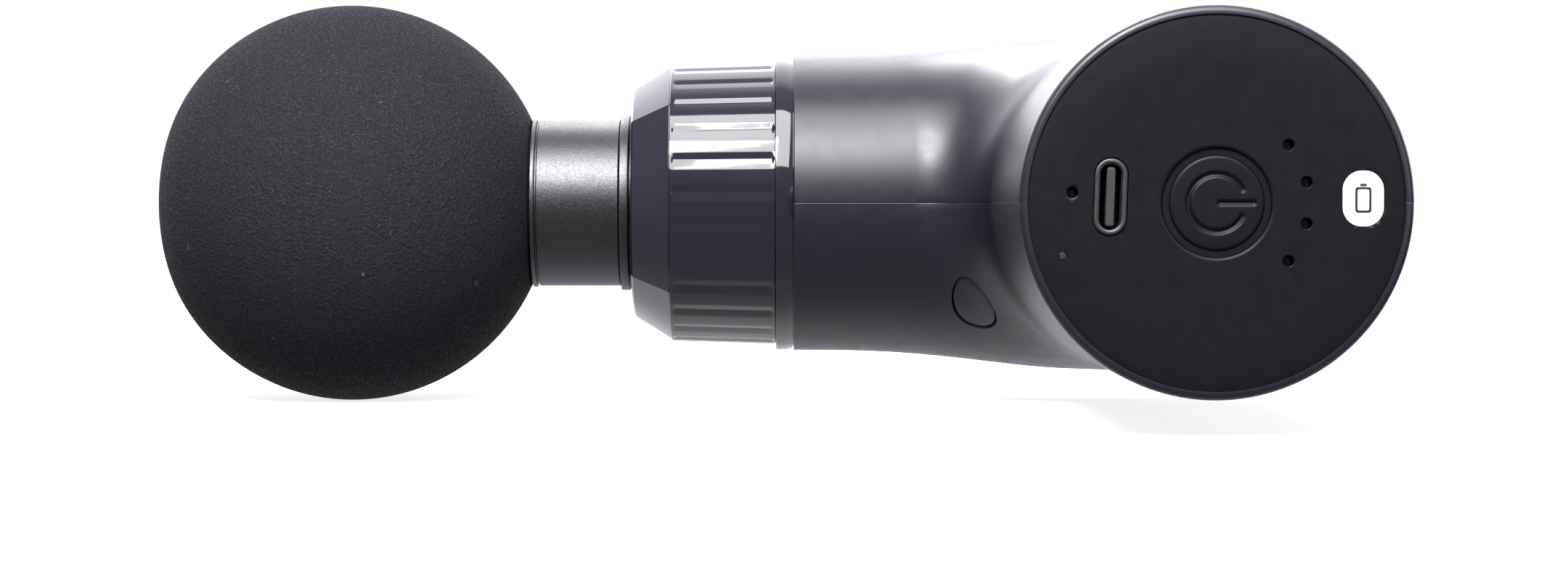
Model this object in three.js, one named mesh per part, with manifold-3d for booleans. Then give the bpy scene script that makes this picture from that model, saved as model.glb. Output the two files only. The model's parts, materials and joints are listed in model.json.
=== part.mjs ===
// A small handheld massage gun, built as separate pieces that move as the real ones do.
// Millimetres, +Z up. The gun lies on its side: the handle runs along Y with the face of its
// end cap at y = 0, facing -Y, and the barrel runs along X with the massage head towards -X.
import * as THREE from 'three';
import { LoftGeometry } from 'three/addons/geometries/LoftGeometry.js';
import { mergeVertices } from 'three/addons/utils/BufferGeometryUtils.js';
import Module from 'manifold-3d';

const wasm = await Module();
wasm.setup();

// ---------------------------------------------------------------- driving dimensions

const GAP = 0.3; // clearance between neighbouring pieces
const SEGMENTS = 32; // facets round a large turned piece
const SMALL_SEGMENTS = 18; // facets round a small turned piece

// casing
const REACH = 92; // end cap face to the barrel's centre line
const HANDLE_R = 22.75;
const BARREL_R = 20.25;
const BARREL_BACK_R = 22; // barrel radius where its outer edge meets the rear corner
const FLARE_END = -9; // x where the casing reaches its full thickness
const WALL = 2.2;
const BARREL_FRONT = -48.4; // front end of the two shells
const INNER_FILLET_R = 9.5; // in the crook between barrel and handle
const OUTER_FILLET_R = 30; // round the rear corner
const RIM_ROUND = 0.85; // rounded edge at the handle's end
const CORNER_START = -HANDLE_R - INNER_FILLET_R; // x where the sections start to fan round
const CORNER_END = REACH - BARREL_R - INNER_FILLET_R; // y where they have turned
const CORNER_SECTIONS = 12;
const SECTION_POINTS = 32;

// casing screws, which run along Z from the lower shell into the upper one
const SCREWS = [[-24.3, 75], [-38, 106.5], [10.5, 99.5]];
const BOSS_R = 4.2;
const PLUG_HOLE_R = 3.1;
const PLUG_FACE_R = 2.8;
const PLUG_SEAT = -6.5; // z of a plug's inner end
const HEAD_SEAT = -3.8; // z of the web a screw head bears on
const PILOT_R = 1.35; // hole the thread bites into
const PILOT_DEPTH = 8;
const THREAD_R = 1.1;
const THREAD_END = 7;
const SCREW_HEAD_R = 2.3;
const SCREW_HEAD_T = 1.8;

// end cap
const CAP_R = 21.6;
const CAP_T = 2.4;
const BUTTON_R = 5.7;
const BUTTON_HOLE_R = 6.2;
const BUTTON_T = 2.2;
const BUTTON_STEM_END = 4.1; // the stem stops short of the switch's plunger by the travel
const LIGHT_CIRCLE_R = 10.6; // circle the four level lights stand on
const LIGHT_ANGLES = [-39, -13, 13, 39];
const LIGHT_R = 0.72;
const CHARGE_LIGHT = [-16.6, 1.2];
const LIGHT_HOLE_R = 0.87;
const SOCKET = { x: -12.2, z: 0.7, width: 3.9, height: 9.1, depth: 6.2, wall: 0.4 };
const TONGUE = { thick: 0.9, height: 6.6 };
const BADGE = { x: 16.8, z: 0.5, width: 4.7, height: 6.4, thick: 0.6, round: 2.2 };
const BOARD_Y = 6.5; // control board
const BOARD_T = 1.2;
const BOARD_R = 19.4;

// barrel trims and the sliding parts
const NOSE_FRONT = -70.4;
const NOSE_BACK = -65.4;
const NOSE_FRONT_R = 15.75;
const NOSE_BACK_R = 19;
const NOSE_EDGES = [75, 44, -19, -39, -98, -138, -197, -223]; // degrees above the -Y side
const RING_FRONT = -65.1;
const RING_BACK = -50.8;
const RING_R = 19.25;
const FLUTES = 27;
const FLUTE_DEPTH = 0.25;
const FLUTE_HALF = 2.8; // half a flute's width, in degrees
const FLUTE_START = 21; // degrees above the -Y side
const FLANGE_BACK = -48.7;
const FLANGE_R = 20.2;
const TUBE_R = 15.6; // front tube, which carries the trims
const TUBE_BORE_R = 13;
const TUBE_BACK = -43.5;
const TUBE_COLLAR_R = 17.7; // held between the two shells
const TUBE_COLLAR_FRONT = -47.2;
const SEAL_R = 12.4;
const PISTON_R = 10;
const PISTON_FRONT = -72;
const COLLAR_R = 12;
const STROKE = 7;
const PLUG_R = 8; // stem of the massage head, inside the piston
const PLUG_END = -53;
const SLEEVE_R = 11.4;
const SLEEVE_FRONT = -84.2;
const SLEEVE_FLANGE_R = 11.6;
const CORE_R = 9; // hard core inside the ball
const CORE_FRONT = -105;
const GROOVES = [-66, -57.5]; // O-ring grooves in the stem
const GROOVE_HALF = 0.9;
const GROOVE_R = 6.7;
const O_RING_R = 0.55;
const BALL_R = 27.1;
const BALL_FLAT = 0.027; // share of its radius that the front of the ball is pressed in by
const BALL_X = -109;

// crank and motor, on an axis along the handle
const MOTOR_X = -2;
const CRANK_R = STROKE / 2;
const ROD_LENGTH = 30;
const WRIST_X = MOTOR_X + CRANK_R - ROD_LENGTH;
const ROD_HALF = 2.4;
const ROD_SMALL_R = 4;
const ROD_BIG_R = 7;
const ROD_BEARING_R = 5;
const WRIST_R = 2;
const FORK_START = -41;
const FORK_END = WRIST_X + 4.5;
const FORK_IN = ROD_HALF + GAP;
const FORK_OUT = 6.6;
const FORK_HEIGHT = 10;
const ROTOR_R = 16;
const ROTOR_BOTTOM = 68;
const ROTOR_TOP = 79;
const ROTOR_WALL = 1;
const MAGNET_R = 13; // inner radius of the magnet ring
const PLATE_Y = 64; // motor mounting plate
const PLATE_T = 1.6;
const PLATE_R = 20.2;
const HUB_R = 4.3;
const HUB_BORE_R = 3.3;
const HUB_FLANGE_R = 9;
const HUB_FLANGE_TOP = 67.4;
const HUB_TOP = 77;
const STATOR_R = 12.6;
const STATOR_ROOT_R = 7.4;
const STATOR_LOW = 70.6;
const STATOR_HIGH = 75;
const TEETH = 9;
const SHAFT_R = 1.5;
const BEARING_R = 3.1;
const DISC_LOW = 81.4; // crank disc
const DISC_HIGH = 84.4;
const WEB_R = 8;
const WEIGHT_R = 14;
const CRANK_PIN_R = 2;
const PIN_SHORT = 0.6; // how far the crank pin stops short of the rod
const MOTOR_SCREW_CIRCLE = 6.6;
const MOTOR_SCREW_ANGLES = [30, 150, 270];
const MOTOR_SCREW_HOLE_R = 1.25;

// battery
const CELL_R = 9.1;
const CELL_LENGTH = 49;
const CELL_OFFSET = 9.45;
const CELL_Y = 10.5;
const CELL_CAP_R = 3; // raised contact
const HOLDER_R = 20;
const HOLDER_LOW = 28;
const HOLDER_HIGH = 42;
const WIRE_SLOT = { width: 9, depth: 8, z: 17 };

// ---------------------------------------------------------------- materials

function finish(color, roughness, metalness) {
  return new THREE.MeshStandardMaterial({ color, roughness, metalness });
}

const casingPlastic = finish(0x2c2b33, 0.45, 0);
const capPlastic = finish(0x26252b, 0.6, 0);
const glossPlastic = finish(0x33323b, 0.12, 0);
const foam = finish(0x2c2c31, 0.9, 0);
const sleeveMetal = finish(0x77777d, 0.45, 0.9);
const whitePlastic = finish(0xe9e9ec, 0.4, 0);
const lightPlastic = finish(0xdfe3ea, 0.3, 0);
const steel = finish(0xa9abb0, 0.3, 1);
const aluminium = finish(0xb9bbc0, 0.4, 1);
const copper = finish(0xb06a3a, 0.4, 0.8);
const nickel = finish(0xc4c2ba, 0.35, 1);
const boardGreen = finish(0x1f5a3a, 0.5, 0);
const cellWrap = finish(0x3d6fa8, 0.4, 0);
const rubber = finish(0x1a1a1c, 0.85, 0);
const redSleeve = finish(0xa3262a, 0.5, 0);
const nylon = finish(0xd8d4c6, 0.55, 0);
const magnetGrey = finish(0x55565a, 0.5, 0.6);

// ---------------------------------------------------------------- shape helpers

// a closed profile of [radius, height] points, turned about Y
function turned(profile, segments = SEGMENTS) {
  const points = profile.map(([r, h]) => new THREE.Vector2(r, h));
  const onAxis = profile[0][0] === 0 && profile[profile.length - 1][0] === 0;
  if (THREE.ShapeUtils.area(points) < 0) points.reverse();
  if (!onAxis) points.push(points[0].clone());
  return new THREE.LatheGeometry(points, segments);
}

// a solid disc or rod, turned about Y
function disc(radius, low, high, segments = SEGMENTS) {
  return turned([[0, low], [radius, low], [radius, high], [0, high]], segments);
}

// a tube or washer, turned about Y
function ring(outer, inner, low, high, segments = SEGMENTS) {
  return turned([[inner, low], [outer, low], [outer, high], [inner, high]], segments);
}

// turn a shape made about Y so that its axis runs along X, its height becoming x
function alongX(geometry) {
  return geometry.rotateZ(-Math.PI / 2);
}

// turn a shape made about Y so that its axis runs along Z, its height becoming z
function alongZ(geometry) {
  return geometry.rotateX(Math.PI / 2);
}

// a shape on the barrel's centre line, its height running along X
function onBarrel(geometry) {
  return alongX(geometry).translate(0, REACH, 0);
}

function box(sizeX, sizeY, sizeZ, x, y, z) {
  return new THREE.BoxGeometry(sizeX, sizeY, sizeZ).translate(x, y, z);
}

// a flat outline drawn in x and z, given thickness along Y from low to high
function plate(shape, low, high, curveSegments = 6) {
  const options = { depth: high - low, bevelEnabled: false, curveSegments };
  return new THREE.ExtrudeGeometry(shape, options).rotateX(Math.PI / 2).translate(0, high, 0);
}

// a rectangle with round corners, centred on x and z
function roundedRectangle(width, height, round, x = 0, z = 0) {
  const shape = new THREE.Shape();
  const w = width / 2;
  const h = height / 2;
  const turn = Math.PI / 2;
  shape.absarc(x + w - round, z + h - round, round, 0, turn);
  shape.absarc(x - w + round, z + h - round, round, turn, 2 * turn);
  shape.absarc(x - w + round, z - h + round, round, 2 * turn, 3 * turn);
  shape.absarc(x + w - round, z - h + round, round, 3 * turn, 4 * turn);
  return shape;
}

// a bare wire or cable, swept along a smooth curve through the points
function cable(points, radius, steps = 14) {
  const curve = new THREE.CatmullRomCurve3(points.map((p) => new THREE.Vector3(...p)));
  const outline = new THREE.Shape();
  outline.absarc(0, 0, radius, 0, 2 * Math.PI);
  const options = { steps, extrudePath: curve, bevelEnabled: false, curveSegments: 4 };
  return new THREE.ExtrudeGeometry(outline, options);
}

// ---------------------------------------------------------------- booleans

function toSolid(geometry) {
  const bare = new THREE.BufferGeometry();
  bare.setAttribute('position', geometry.attributes.position);
  bare.setIndex(geometry.index);
  const merged = mergeVertices(bare);
  const triangles = [];
  const index = merged.index.array;
  for (let i = 0; i < index.length; i += 3) {
    const [a, b, c] = [index[i], index[i + 1], index[i + 2]];
    if (a !== b && b !== c && a !== c) triangles.push(a, b, c);
  }
  return new wasm.Manifold(new wasm.Mesh({
    numProp: 3,
    vertProperties: new Float32Array(merged.attributes.position.array),
    triVerts: new Uint32Array(triangles),
  }));
}

function toGeometry(solid) {
  const mesh = solid.getMesh();
  const geometry = new THREE.BufferGeometry();
  geometry.setAttribute('position', new THREE.BufferAttribute(mesh.vertProperties, 3));
  geometry.setIndex(new THREE.BufferAttribute(mesh.triVerts, 1));
  geometry.computeVertexNormals();
  return geometry;
}

function joined(...geometries) {
  const solids = geometries.map(toSolid);
  return toGeometry(solids.reduce((sum, solid) => sum.add(solid)));
}

function cut(geometry, ...tools) {
  const solids = tools.map(toSolid);
  return toGeometry(solids.reduce((rest, tool) => rest.subtract(tool), toSolid(geometry)));
}

function common(geometry, other) {
  return toGeometry(toSolid(geometry).intersect(toSolid(other)));
}

// ---------------------------------------------------------------- bodies

const gun = new THREE.Group();
const bodies = {};
for (const name of ['casing', 'head', 'piston', 'rod', 'rotor', 'button']) {
  bodies[name] = new THREE.Group();
  gun.add(bodies[name]);
}

function add(body, name, geometry, material) {
  const mesh = new THREE.Mesh(geometry, material);
  mesh.name = name;
  bodies[body].add(mesh);
  return mesh;
}

// ---------------------------------------------------------------- casing

// The casing is a row of elliptical sections between an inner and an outer edge line, both in
// the plane z = 0. Each edge runs along the barrel, round a corner and down the handle.
function edgePoint(side, travel) {
  const isInner = side === 'inner';
  const cornerR = isInner ? INNER_FILLET_R : OUTER_FILLET_R;
  const barrelY = isInner ? REACH - BARREL_R : REACH + BARREL_BACK_R;
  const frontY = isInner ? REACH - BARREL_R : REACH + BARREL_R;
  const handleX = isInner ? -HANDLE_R : HANDLE_R;
  const centreX = handleX - cornerR;
  const centreY = barrelY - cornerR;
  const straight = centreX - CORNER_START;
  const arc = cornerR * Math.PI / 2;
  const tail = centreY - CORNER_END;
  const along = travel * (straight + arc + tail);
  if (along < straight) {
    const x = CORNER_START + along;
    const rise = (x - BARREL_FRONT) / (centreX - BARREL_FRONT);
    return [x, frontY + (barrelY - frontY) * rise];
  }
  if (along > straight + arc) return [handleX, centreY - (along - straight - arc)];
  const turn = Math.PI / 2 - (along - straight) / cornerR;
  return [centreX + cornerR * Math.cos(turn), centreY + cornerR * Math.sin(turn)];
}

// half the casing's thickness along z, growing smoothly from the barrel to the handle
function halfThickness(x) {
  const t = THREE.MathUtils.clamp((x - BARREL_FRONT) / (FLARE_END - BARREL_FRONT), 0, 1);
  return BARREL_R + (HANDLE_R - BARREL_R) * t ** 3 * (4 - 3 * t);
}

function section(inner, outer, half, inset) {
  const points = [];
  const centre = new THREE.Vector2((inner[0] + outer[0]) / 2, (inner[1] + outer[1]) / 2);
  const radial = new THREE.Vector2(outer[0] - inner[0], outer[1] - inner[1]);
  const a = radial.length() / 2 - inset;
  radial.normalize();
  for (let i = 0; i < SECTION_POINTS; i++) {
    const angle = 2 * Math.PI * i / SECTION_POINTS;
    const side = a * Math.cos(angle);
    const up = (half - inset) * Math.sin(angle);
    points.push(new THREE.Vector3(centre.x + radial.x * side, centre.y + radial.y * side, up));
  }
  return points;
}

function barrelSection(x, inset) {
  const rise = (x - BARREL_FRONT) / (HANDLE_R - OUTER_FILLET_R - BARREL_FRONT);
  const outerY = REACH + BARREL_R + (BARREL_BACK_R - BARREL_R) * rise;
  return section([x, REACH - BARREL_R], [x, outerY], halfThickness(x), inset);
}

function casingLoft(inset, frontX, endSections) {
  const sections = [];
  for (const x of [frontX, -42, -36]) sections.push(barrelSection(x, inset));
  for (let i = 0; i <= CORNER_SECTIONS; i++) {
    const travel = i / CORNER_SECTIONS;
    const inner = edgePoint('inner', travel);
    const outer = edgePoint('outer', travel);
    sections.push(section(inner, outer, halfThickness((inner[0] + outer[0]) / 2), inset));
  }
  for (const [y, radius] of endSections) {
    sections.push(section([-radius, y], [radius, y], radius, inset));
  }
  return new LoftGeometry(sections, { capStart: true, capEnd: true });
}

// the end cap's side of the casing, with its edge rounded
function outerLoft() {
  return casingLoft(0, BARREL_FRONT, [
    [RIM_ROUND, HANDLE_R],
    [RIM_ROUND * 0.3, HANDLE_R - RIM_ROUND * 0.3],
    [0, HANDLE_R - RIM_ROUND],
  ]);
}

// a rod along Z at each casing screw
function atScrews(radius, low, high, segments = SMALL_SEGMENTS) {
  return SCREWS.map(([x, y]) => alongZ(disc(radius, low, high, segments)).translate(x, y, 0));
}

function hollowCasing() {
  const inside = casingLoft(WALL, BARREL_FRONT - 1, [[CAP_T + 1.2, HANDLE_R]]);
  const capSeat = disc(CAP_R + GAP, -1, CAP_T + GAP);
  const seatMouth = disc(HANDLE_R - WALL, CAP_T - 1, CAP_T + 2);
  const shell = cut(outerLoft(), inside, capSeat, seatMouth);
  const bosses = common(joined(...atScrews(BOSS_R, -HANDLE_R, HANDLE_R)), outerLoft());
  return joined(shell, bosses);
}

const wholeCasing = hollowCasing();

function halfShell(sign) {
  const size = 2 * (REACH + HANDLE_R);
  const half = box(size, size, size, 0, REACH / 2, sign * (size + GAP) / 2);
  return common(wholeCasing, half);
}

// the screws bite into blind holes in the upper shell
function upperShell() {
  return cut(halfShell(1), ...atScrews(PILOT_R, -1, PILOT_DEPTH));
}

// the lower shell has a deep hole for each screw and its plug
function lowerShell() {
  const deepHoles = atScrews(PLUG_HOLE_R, -HANDLE_R - 1, HEAD_SEAT);
  return cut(halfShell(-1), ...deepHoles, ...atScrews(THREAD_R + 0.4, HEAD_SEAT - 1, 1));
}

function casingScrew([x, y]) {
  const top = HEAD_SEAT - GAP;
  const head = disc(SCREW_HEAD_R, top - SCREW_HEAD_T, top, 14);
  const thread = disc(THREAD_R, top - 1, THREAD_END, 12);
  return alongZ(joined(head, thread)).translate(x, y, 0);
}

// a plug whose outer face follows the casing, a little below it
function screwPlug([x, y]) {
  const rod = alongZ(disc(PLUG_FACE_R, -HANDLE_R, PLUG_SEAT, SMALL_SEGMENTS)).translate(x, y, 0);
  return common(rod, casingLoft(0.2, BARREL_FRONT, [[0, HANDLE_R]]));
}

// ---------------------------------------------------------------- end cap and electronics

function lightPositions() {
  return LIGHT_ANGLES.map((degrees) => {
    const angle = THREE.MathUtils.degToRad(degrees);
    return [LIGHT_CIRCLE_R * Math.cos(angle), LIGHT_CIRCLE_R * Math.sin(angle)];
  });
}

function endCap() {
  const { x, z, width, height } = SOCKET;
  const socketHole = roundedRectangle(width + 2 * GAP, height + 2 * GAP, width / 2, x, z);
  const badgeSeat = roundedRectangle(
    BADGE.width + 2 * GAP, BADGE.height + 2 * GAP, BADGE.round + GAP, BADGE.x, BADGE.z);
  const tools = [
    disc(BUTTON_HOLE_R, -1, CAP_T + 1, 28),
    plate(socketHole, -1, CAP_T + 1),
    plate(badgeSeat, -1, BADGE.thick + GAP),
  ];
  for (const [lx, lz] of [...lightPositions(), CHARGE_LIGHT]) {
    tools.push(disc(LIGHT_HOLE_R, -1, CAP_T + 1, 10).translate(lx, 0, lz));
  }
  return cut(disc(CAP_R, 0, CAP_T), ...tools);
}

function powerButton() {
  const face = disc(BUTTON_R, 0, BUTTON_T, 28);
  const stem = disc(2, BUTTON_T - 0.2, BUTTON_STEM_END, 12);
  return joined(face, stem);
}

function socketShell() {
  const { x, z, width, height, depth, wall } = SOCKET;
  const outer = plate(roundedRectangle(width, height, width / 2 - 0.01, x, z), 0.2, depth);
  const inside = roundedRectangle(
    width - 2 * wall, height - 2 * wall, width / 2 - wall - 0.01, x, z);
  return cut(outer, plate(inside, -1, depth - 0.6));
}

function socketTongue() {
  return box(TONGUE.thick, SOCKET.depth - 2, TONGUE.height, SOCKET.x, SOCKET.depth / 2 - 0.1, SOCKET.z);
}

function lightPipe(x, z) {
  return disc(LIGHT_R, 0.15, 5.9, 10).translate(x, 0, z);
}

function badgePlate() {
  const shape = roundedRectangle(BADGE.width, BADGE.height, BADGE.round, BADGE.x, BADGE.z);
  return plate(shape, 0, BADGE.thick, 3);
}

function controlBoard() {
  const notch = box(6, 4, 8, 0, BOARD_Y, BOARD_R);
  return cut(disc(BOARD_R, BOARD_Y, BOARD_Y + BOARD_T), notch);
}

// tact switch on the board, its plunger towards the button
function powerSwitch() {
  const housing = box(4.4, 1.3, 4.4, 0, BOARD_Y - 1, 0);
  const plunger = disc(1.1, BOARD_Y - 1.75, BOARD_Y - 1.5, 12);
  return joined(housing, plunger);
}

function cell(sign) {
  const end = CELL_Y + CELL_LENGTH;
  return turned([[0, CELL_Y], [CELL_R, CELL_Y], [CELL_R, end - 0.8], [CELL_R - 0.8, end],
    [CELL_CAP_R, end], [CELL_CAP_R, end + 0.5], [0, end + 0.5]], 28)
    .translate(sign * CELL_OFFSET, 0, 0);
}

// moulded frame that keeps the two cells apart, with a collar round both at one end
function cellHolder() {
  const collar = disc(HOLDER_R, HOLDER_LOW, HOLDER_HIGH);
  const middle = (HOLDER_LOW + HOLDER_HIGH) / 2;
  const length = HOLDER_HIGH - HOLDER_LOW + 2;
  const pockets = [-1, 1].map((sign) => {
    const pocket = disc(CELL_R + GAP, HOLDER_LOW - 1, HOLDER_HIGH + 1, 28);
    return pocket.translate(sign * CELL_OFFSET, 0, 0);
  });
  const wireSlots = [-1, 1].map((sign) => {
    return box(WIRE_SLOT.width, length, WIRE_SLOT.depth, 0, middle, sign * WIRE_SLOT.z);
  });
  return cut(collar, ...pockets, ...wireSlots);
}

// nickel strip across the two cells
function cellStrip(y) {
  return box(22, 0.3, 5, 0, y, 0);
}

function protectionBoard() {
  return box(24, 1, 8, 0, 62.1, 10.8);
}

// ---------------------------------------------------------------- front of the barrel

// the nose is cut into flat faces of two widths
function noseSection(x, radius) {
  return NOSE_EDGES.map((degrees) => {
    const angle = THREE.MathUtils.degToRad(degrees);
    return new THREE.Vector3(x, REACH - radius * Math.cos(angle), radius * Math.sin(angle));
  });
}

function noseCone() {
  const sections = [noseSection(NOSE_FRONT, NOSE_FRONT_R), noseSection(NOSE_BACK, NOSE_BACK_R)];
  const cone = new LoftGeometry(sections, { capStart: true, capEnd: true });
  const bore = onBarrel(disc(PISTON_R + 0.6, NOSE_FRONT - 1, NOSE_BACK + 1));
  const seat = onBarrel(disc(SEAL_R + GAP, NOSE_FRONT + 1.8, NOSE_BACK + 1));
  return cut(cone, bore, seat);
}

// how far the fluted ring's surface falls, at an angle in degrees above the -Y side
function fluteDrop(degrees) {
  const pitch = 360 / FLUTES;
  const turn = THREE.MathUtils.euclideanModulo(degrees - FLUTE_START + pitch / 2, pitch);
  const away = Math.abs(turn - pitch / 2);
  if (away >= FLUTE_HALF) return 0;
  return FLUTE_DEPTH * (0.5 + 0.5 * Math.cos(Math.PI * away / FLUTE_HALF));
}

// round lands with narrow flutes between them
function flutedRing() {
  const offsets = [-1, -0.5, 0, 0.5, 1].map((k) => k * FLUTE_HALF);
  const points = [];
  for (let i = 0; i < FLUTES; i++) {
    const middle = FLUTE_START + 360 * i / FLUTES;
    const land = middle + 180 / FLUTES;
    for (const degrees of [...offsets.map((offset) => middle + offset), land]) {
      const angle = THREE.MathUtils.degToRad(degrees);
      const radius = RING_R - fluteDrop(degrees);
      points.push(new THREE.Vector2(radius * Math.sin(angle), -radius * Math.cos(angle)));
    }
  }
  const shape = new THREE.Shape(points);
  const hole = new THREE.Path();
  hole.absarc(0, 0, TUBE_R + GAP, 0, 2 * Math.PI, true);
  shape.holes.push(hole);
  const options = { depth: RING_BACK - RING_FRONT, bevelEnabled: false, curveSegments: 18 };
  const extruded = new THREE.ExtrudeGeometry(shape, options);
  return extruded.rotateY(-Math.PI / 2).translate(RING_BACK, REACH, 0);
}

function trimFlange() {
  return onBarrel(ring(FLANGE_R, TUBE_R + GAP, RING_BACK + GAP, FLANGE_BACK));
}

// tube that carries the trims, with a collar held between the two shells
function frontTube() {
  return onBarrel(turned([[TUBE_BORE_R, RING_FRONT], [TUBE_R, RING_FRONT],
    [TUBE_R, TUBE_COLLAR_FRONT], [TUBE_COLLAR_R, TUBE_COLLAR_FRONT],
    [TUBE_COLLAR_R, TUBE_BACK], [TUBE_BORE_R, TUBE_BACK]]));
}

function lipSeal() {
  const low = NOSE_FRONT + 1.8 + GAP;
  const high = NOSE_BACK - 1.2;
  return onBarrel(turned([[PISTON_R + GAP, low], [SEAL_R, low], [SEAL_R, high],
    [PISTON_R + 1.2, high], [PISTON_R + 1.2, low + 0.9], [PISTON_R + GAP, low + 0.9]]));
}

function guideBush() {
  return onBarrel(ring(TUBE_BORE_R - 0.2, PISTON_R + 0.2, RING_FRONT + GAP, TUBE_BACK));
}

// ---------------------------------------------------------------- massage head

// a ball, slightly flattened at the front, with a mouth for the sleeve
function foamBall() {
  const profile = [];
  const steps = 16;
  const last = Math.acos((SLEEVE_FRONT - BALL_X) / BALL_R);
  for (let i = 0; i <= steps; i++) {
    const angle = Math.PI - (Math.PI - last) * i / steps;
    const radius = i === 0 ? 0 : BALL_R * Math.sin(angle);
    const flat = BALL_FLAT * Math.max(0, -Math.cos(angle)) ** 10;
    profile.push([radius, BALL_X + BALL_R * Math.cos(angle) * (1 - flat)]);
  }
  profile.push([CORE_R + GAP, SLEEVE_FRONT]);
  profile.push([CORE_R + GAP, CORE_FRONT - GAP]);
  profile.push([0, CORE_FRONT - GAP]);
  return onBarrel(turned(profile));
}

// hard core in the ball, the visible sleeve, and the stem that plugs into the piston
function headCore() {
  const back = PISTON_FRONT - GAP;
  const profile = [[0, CORE_FRONT], [CORE_R, CORE_FRONT], [CORE_R, SLEEVE_FRONT + GAP],
    [SLEEVE_FLANGE_R, SLEEVE_FRONT + GAP], [SLEEVE_FLANGE_R, SLEEVE_FRONT + 0.9],
    [SLEEVE_R, SLEEVE_FRONT + 1], [SLEEVE_R, back], [PLUG_R, back]];
  for (const x of GROOVES) {
    profile.push([PLUG_R, x - GROOVE_HALF], [GROOVE_R, x - GROOVE_HALF]);
    profile.push([GROOVE_R, x + GROOVE_HALF], [PLUG_R, x + GROOVE_HALF]);
  }
  profile.push([PLUG_R, PLUG_END - 1], [PLUG_R - 1, PLUG_END], [0, PLUG_END]);
  return onBarrel(turned(profile));
}

function oRing(x) {
  const torus = new THREE.TorusGeometry(GROOVE_R + O_RING_R + 0.15, O_RING_R, 6, 20);
  return torus.rotateY(Math.PI / 2).translate(x, REACH, 0);
}

// ---------------------------------------------------------------- piston and rod

// pin axis along Y, at a place on the barrel's centre line
function crossRod(radius, x, low, high, segments = SMALL_SEGMENTS) {
  return disc(radius, low, high, segments).translate(x, REACH, 0);
}

function piston() {
  const collarBack = NOSE_FRONT - 0.4;
  const tube = onBarrel(turned([[PLUG_R + GAP, PISTON_FRONT], [COLLAR_R, PISTON_FRONT],
    [COLLAR_R, collarBack], [PISTON_R, collarBack], [PISTON_R, FORK_START],
    [0, FORK_START], [0, PLUG_END + 2], [PLUG_R + GAP, PLUG_END + 2]]));
  const cheeks = [-1, 1].map((sign) => {
    const y = REACH + sign * (FORK_IN + FORK_OUT) / 2;
    const length = FORK_END - FORK_START + 1;
    return box(length, FORK_OUT - FORK_IN, FORK_HEIGHT, FORK_END - length / 2, y, 0);
  });
  const hole = crossRod(WRIST_R + GAP / 2, WRIST_X, -10, 10);
  return cut(joined(tube, ...cheeks), hole);
}

function wristPin() {
  return crossRod(WRIST_R, WRIST_X, -FORK_OUT - 0.2, FORK_OUT + 0.2);
}

function connectingRod() {
  const small = crossRod(ROD_SMALL_R, WRIST_X, -ROD_HALF, ROD_HALF);
  const big = crossRod(ROD_BIG_R, WRIST_X + ROD_LENGTH, -ROD_HALF, ROD_HALF, 28);
  const beam = box(ROD_LENGTH - 8, 2 * ROD_HALF, 5, WRIST_X + ROD_LENGTH / 2 - 0.5, REACH, 0);
  const pinHole = crossRod(WRIST_R + GAP, WRIST_X, -9, 9);
  const bearingHole = crossRod(ROD_BEARING_R + GAP / 2, WRIST_X + ROD_LENGTH, -9, 9, 28);
  return cut(joined(small, big, beam), pinHole, bearingHole);
}

function rodBearing() {
  const race = ring(ROD_BEARING_R, CRANK_PIN_R + 0.2, 0.4 - ROD_HALF, ROD_HALF - 0.4, 28);
  return race.translate(WRIST_X + ROD_LENGTH, REACH, 0);
}

// ---------------------------------------------------------------- motor

// a shape on the motor's axis, its height running along Y
function onMotor(geometry) {
  return geometry.translate(MOTOR_X, 0, 0);
}

// a rod along Y at each motor screw
function atMotorScrews(radius, low, high) {
  return MOTOR_SCREW_ANGLES.map((degrees) => {
    const angle = THREE.MathUtils.degToRad(degrees);
    const x = MOTOR_SCREW_CIRCLE * Math.cos(angle);
    const z = MOTOR_SCREW_CIRCLE * Math.sin(angle);
    return onMotor(disc(radius, low, high, 12).translate(x, 0, z));
  });
}

function motorPlate() {
  const base = disc(PLATE_R, PLATE_Y, PLATE_Y + PLATE_T);
  const wireNotch = box(WIRE_SLOT.width, 6, WIRE_SLOT.depth, 0, PLATE_Y, -WIRE_SLOT.z);
  const hubHole = onMotor(disc(HUB_R + GAP, PLATE_Y - 1, PLATE_Y + PLATE_T + 1, 24));
  const screwHoles = atMotorScrews(MOTOR_SCREW_HOLE_R, PLATE_Y - 1, PLATE_Y + PLATE_T + 1);
  return cut(base, wireNotch, hubHole, ...screwHoles);
}

// flanged tube that holds the stator and the two bearings
function statorHub() {
  const low = PLATE_Y - 1.4;
  const seat = PLATE_Y + PLATE_T + GAP;
  const hub = onMotor(turned([[HUB_BORE_R, low], [HUB_R, low], [HUB_R, seat],
    [HUB_FLANGE_R, seat], [HUB_FLANGE_R, HUB_FLANGE_TOP], [HUB_R, HUB_FLANGE_TOP],
    [HUB_R, HUB_TOP], [HUB_BORE_R, HUB_TOP]], 24));
  return cut(hub, ...atMotorScrews(MOTOR_SCREW_HOLE_R, PLATE_Y + 1, HUB_FLANGE_TOP + 1));
}

function motorScrews() {
  const heads = atMotorScrews(1.9, PLATE_Y - GAP - 1, PLATE_Y - GAP);
  const threads = atMotorScrews(0.95, PLATE_Y - 1, HUB_FLANGE_TOP - 0.2);
  return heads.map((head, i) => joined(head, threads[i]));
}

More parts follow.
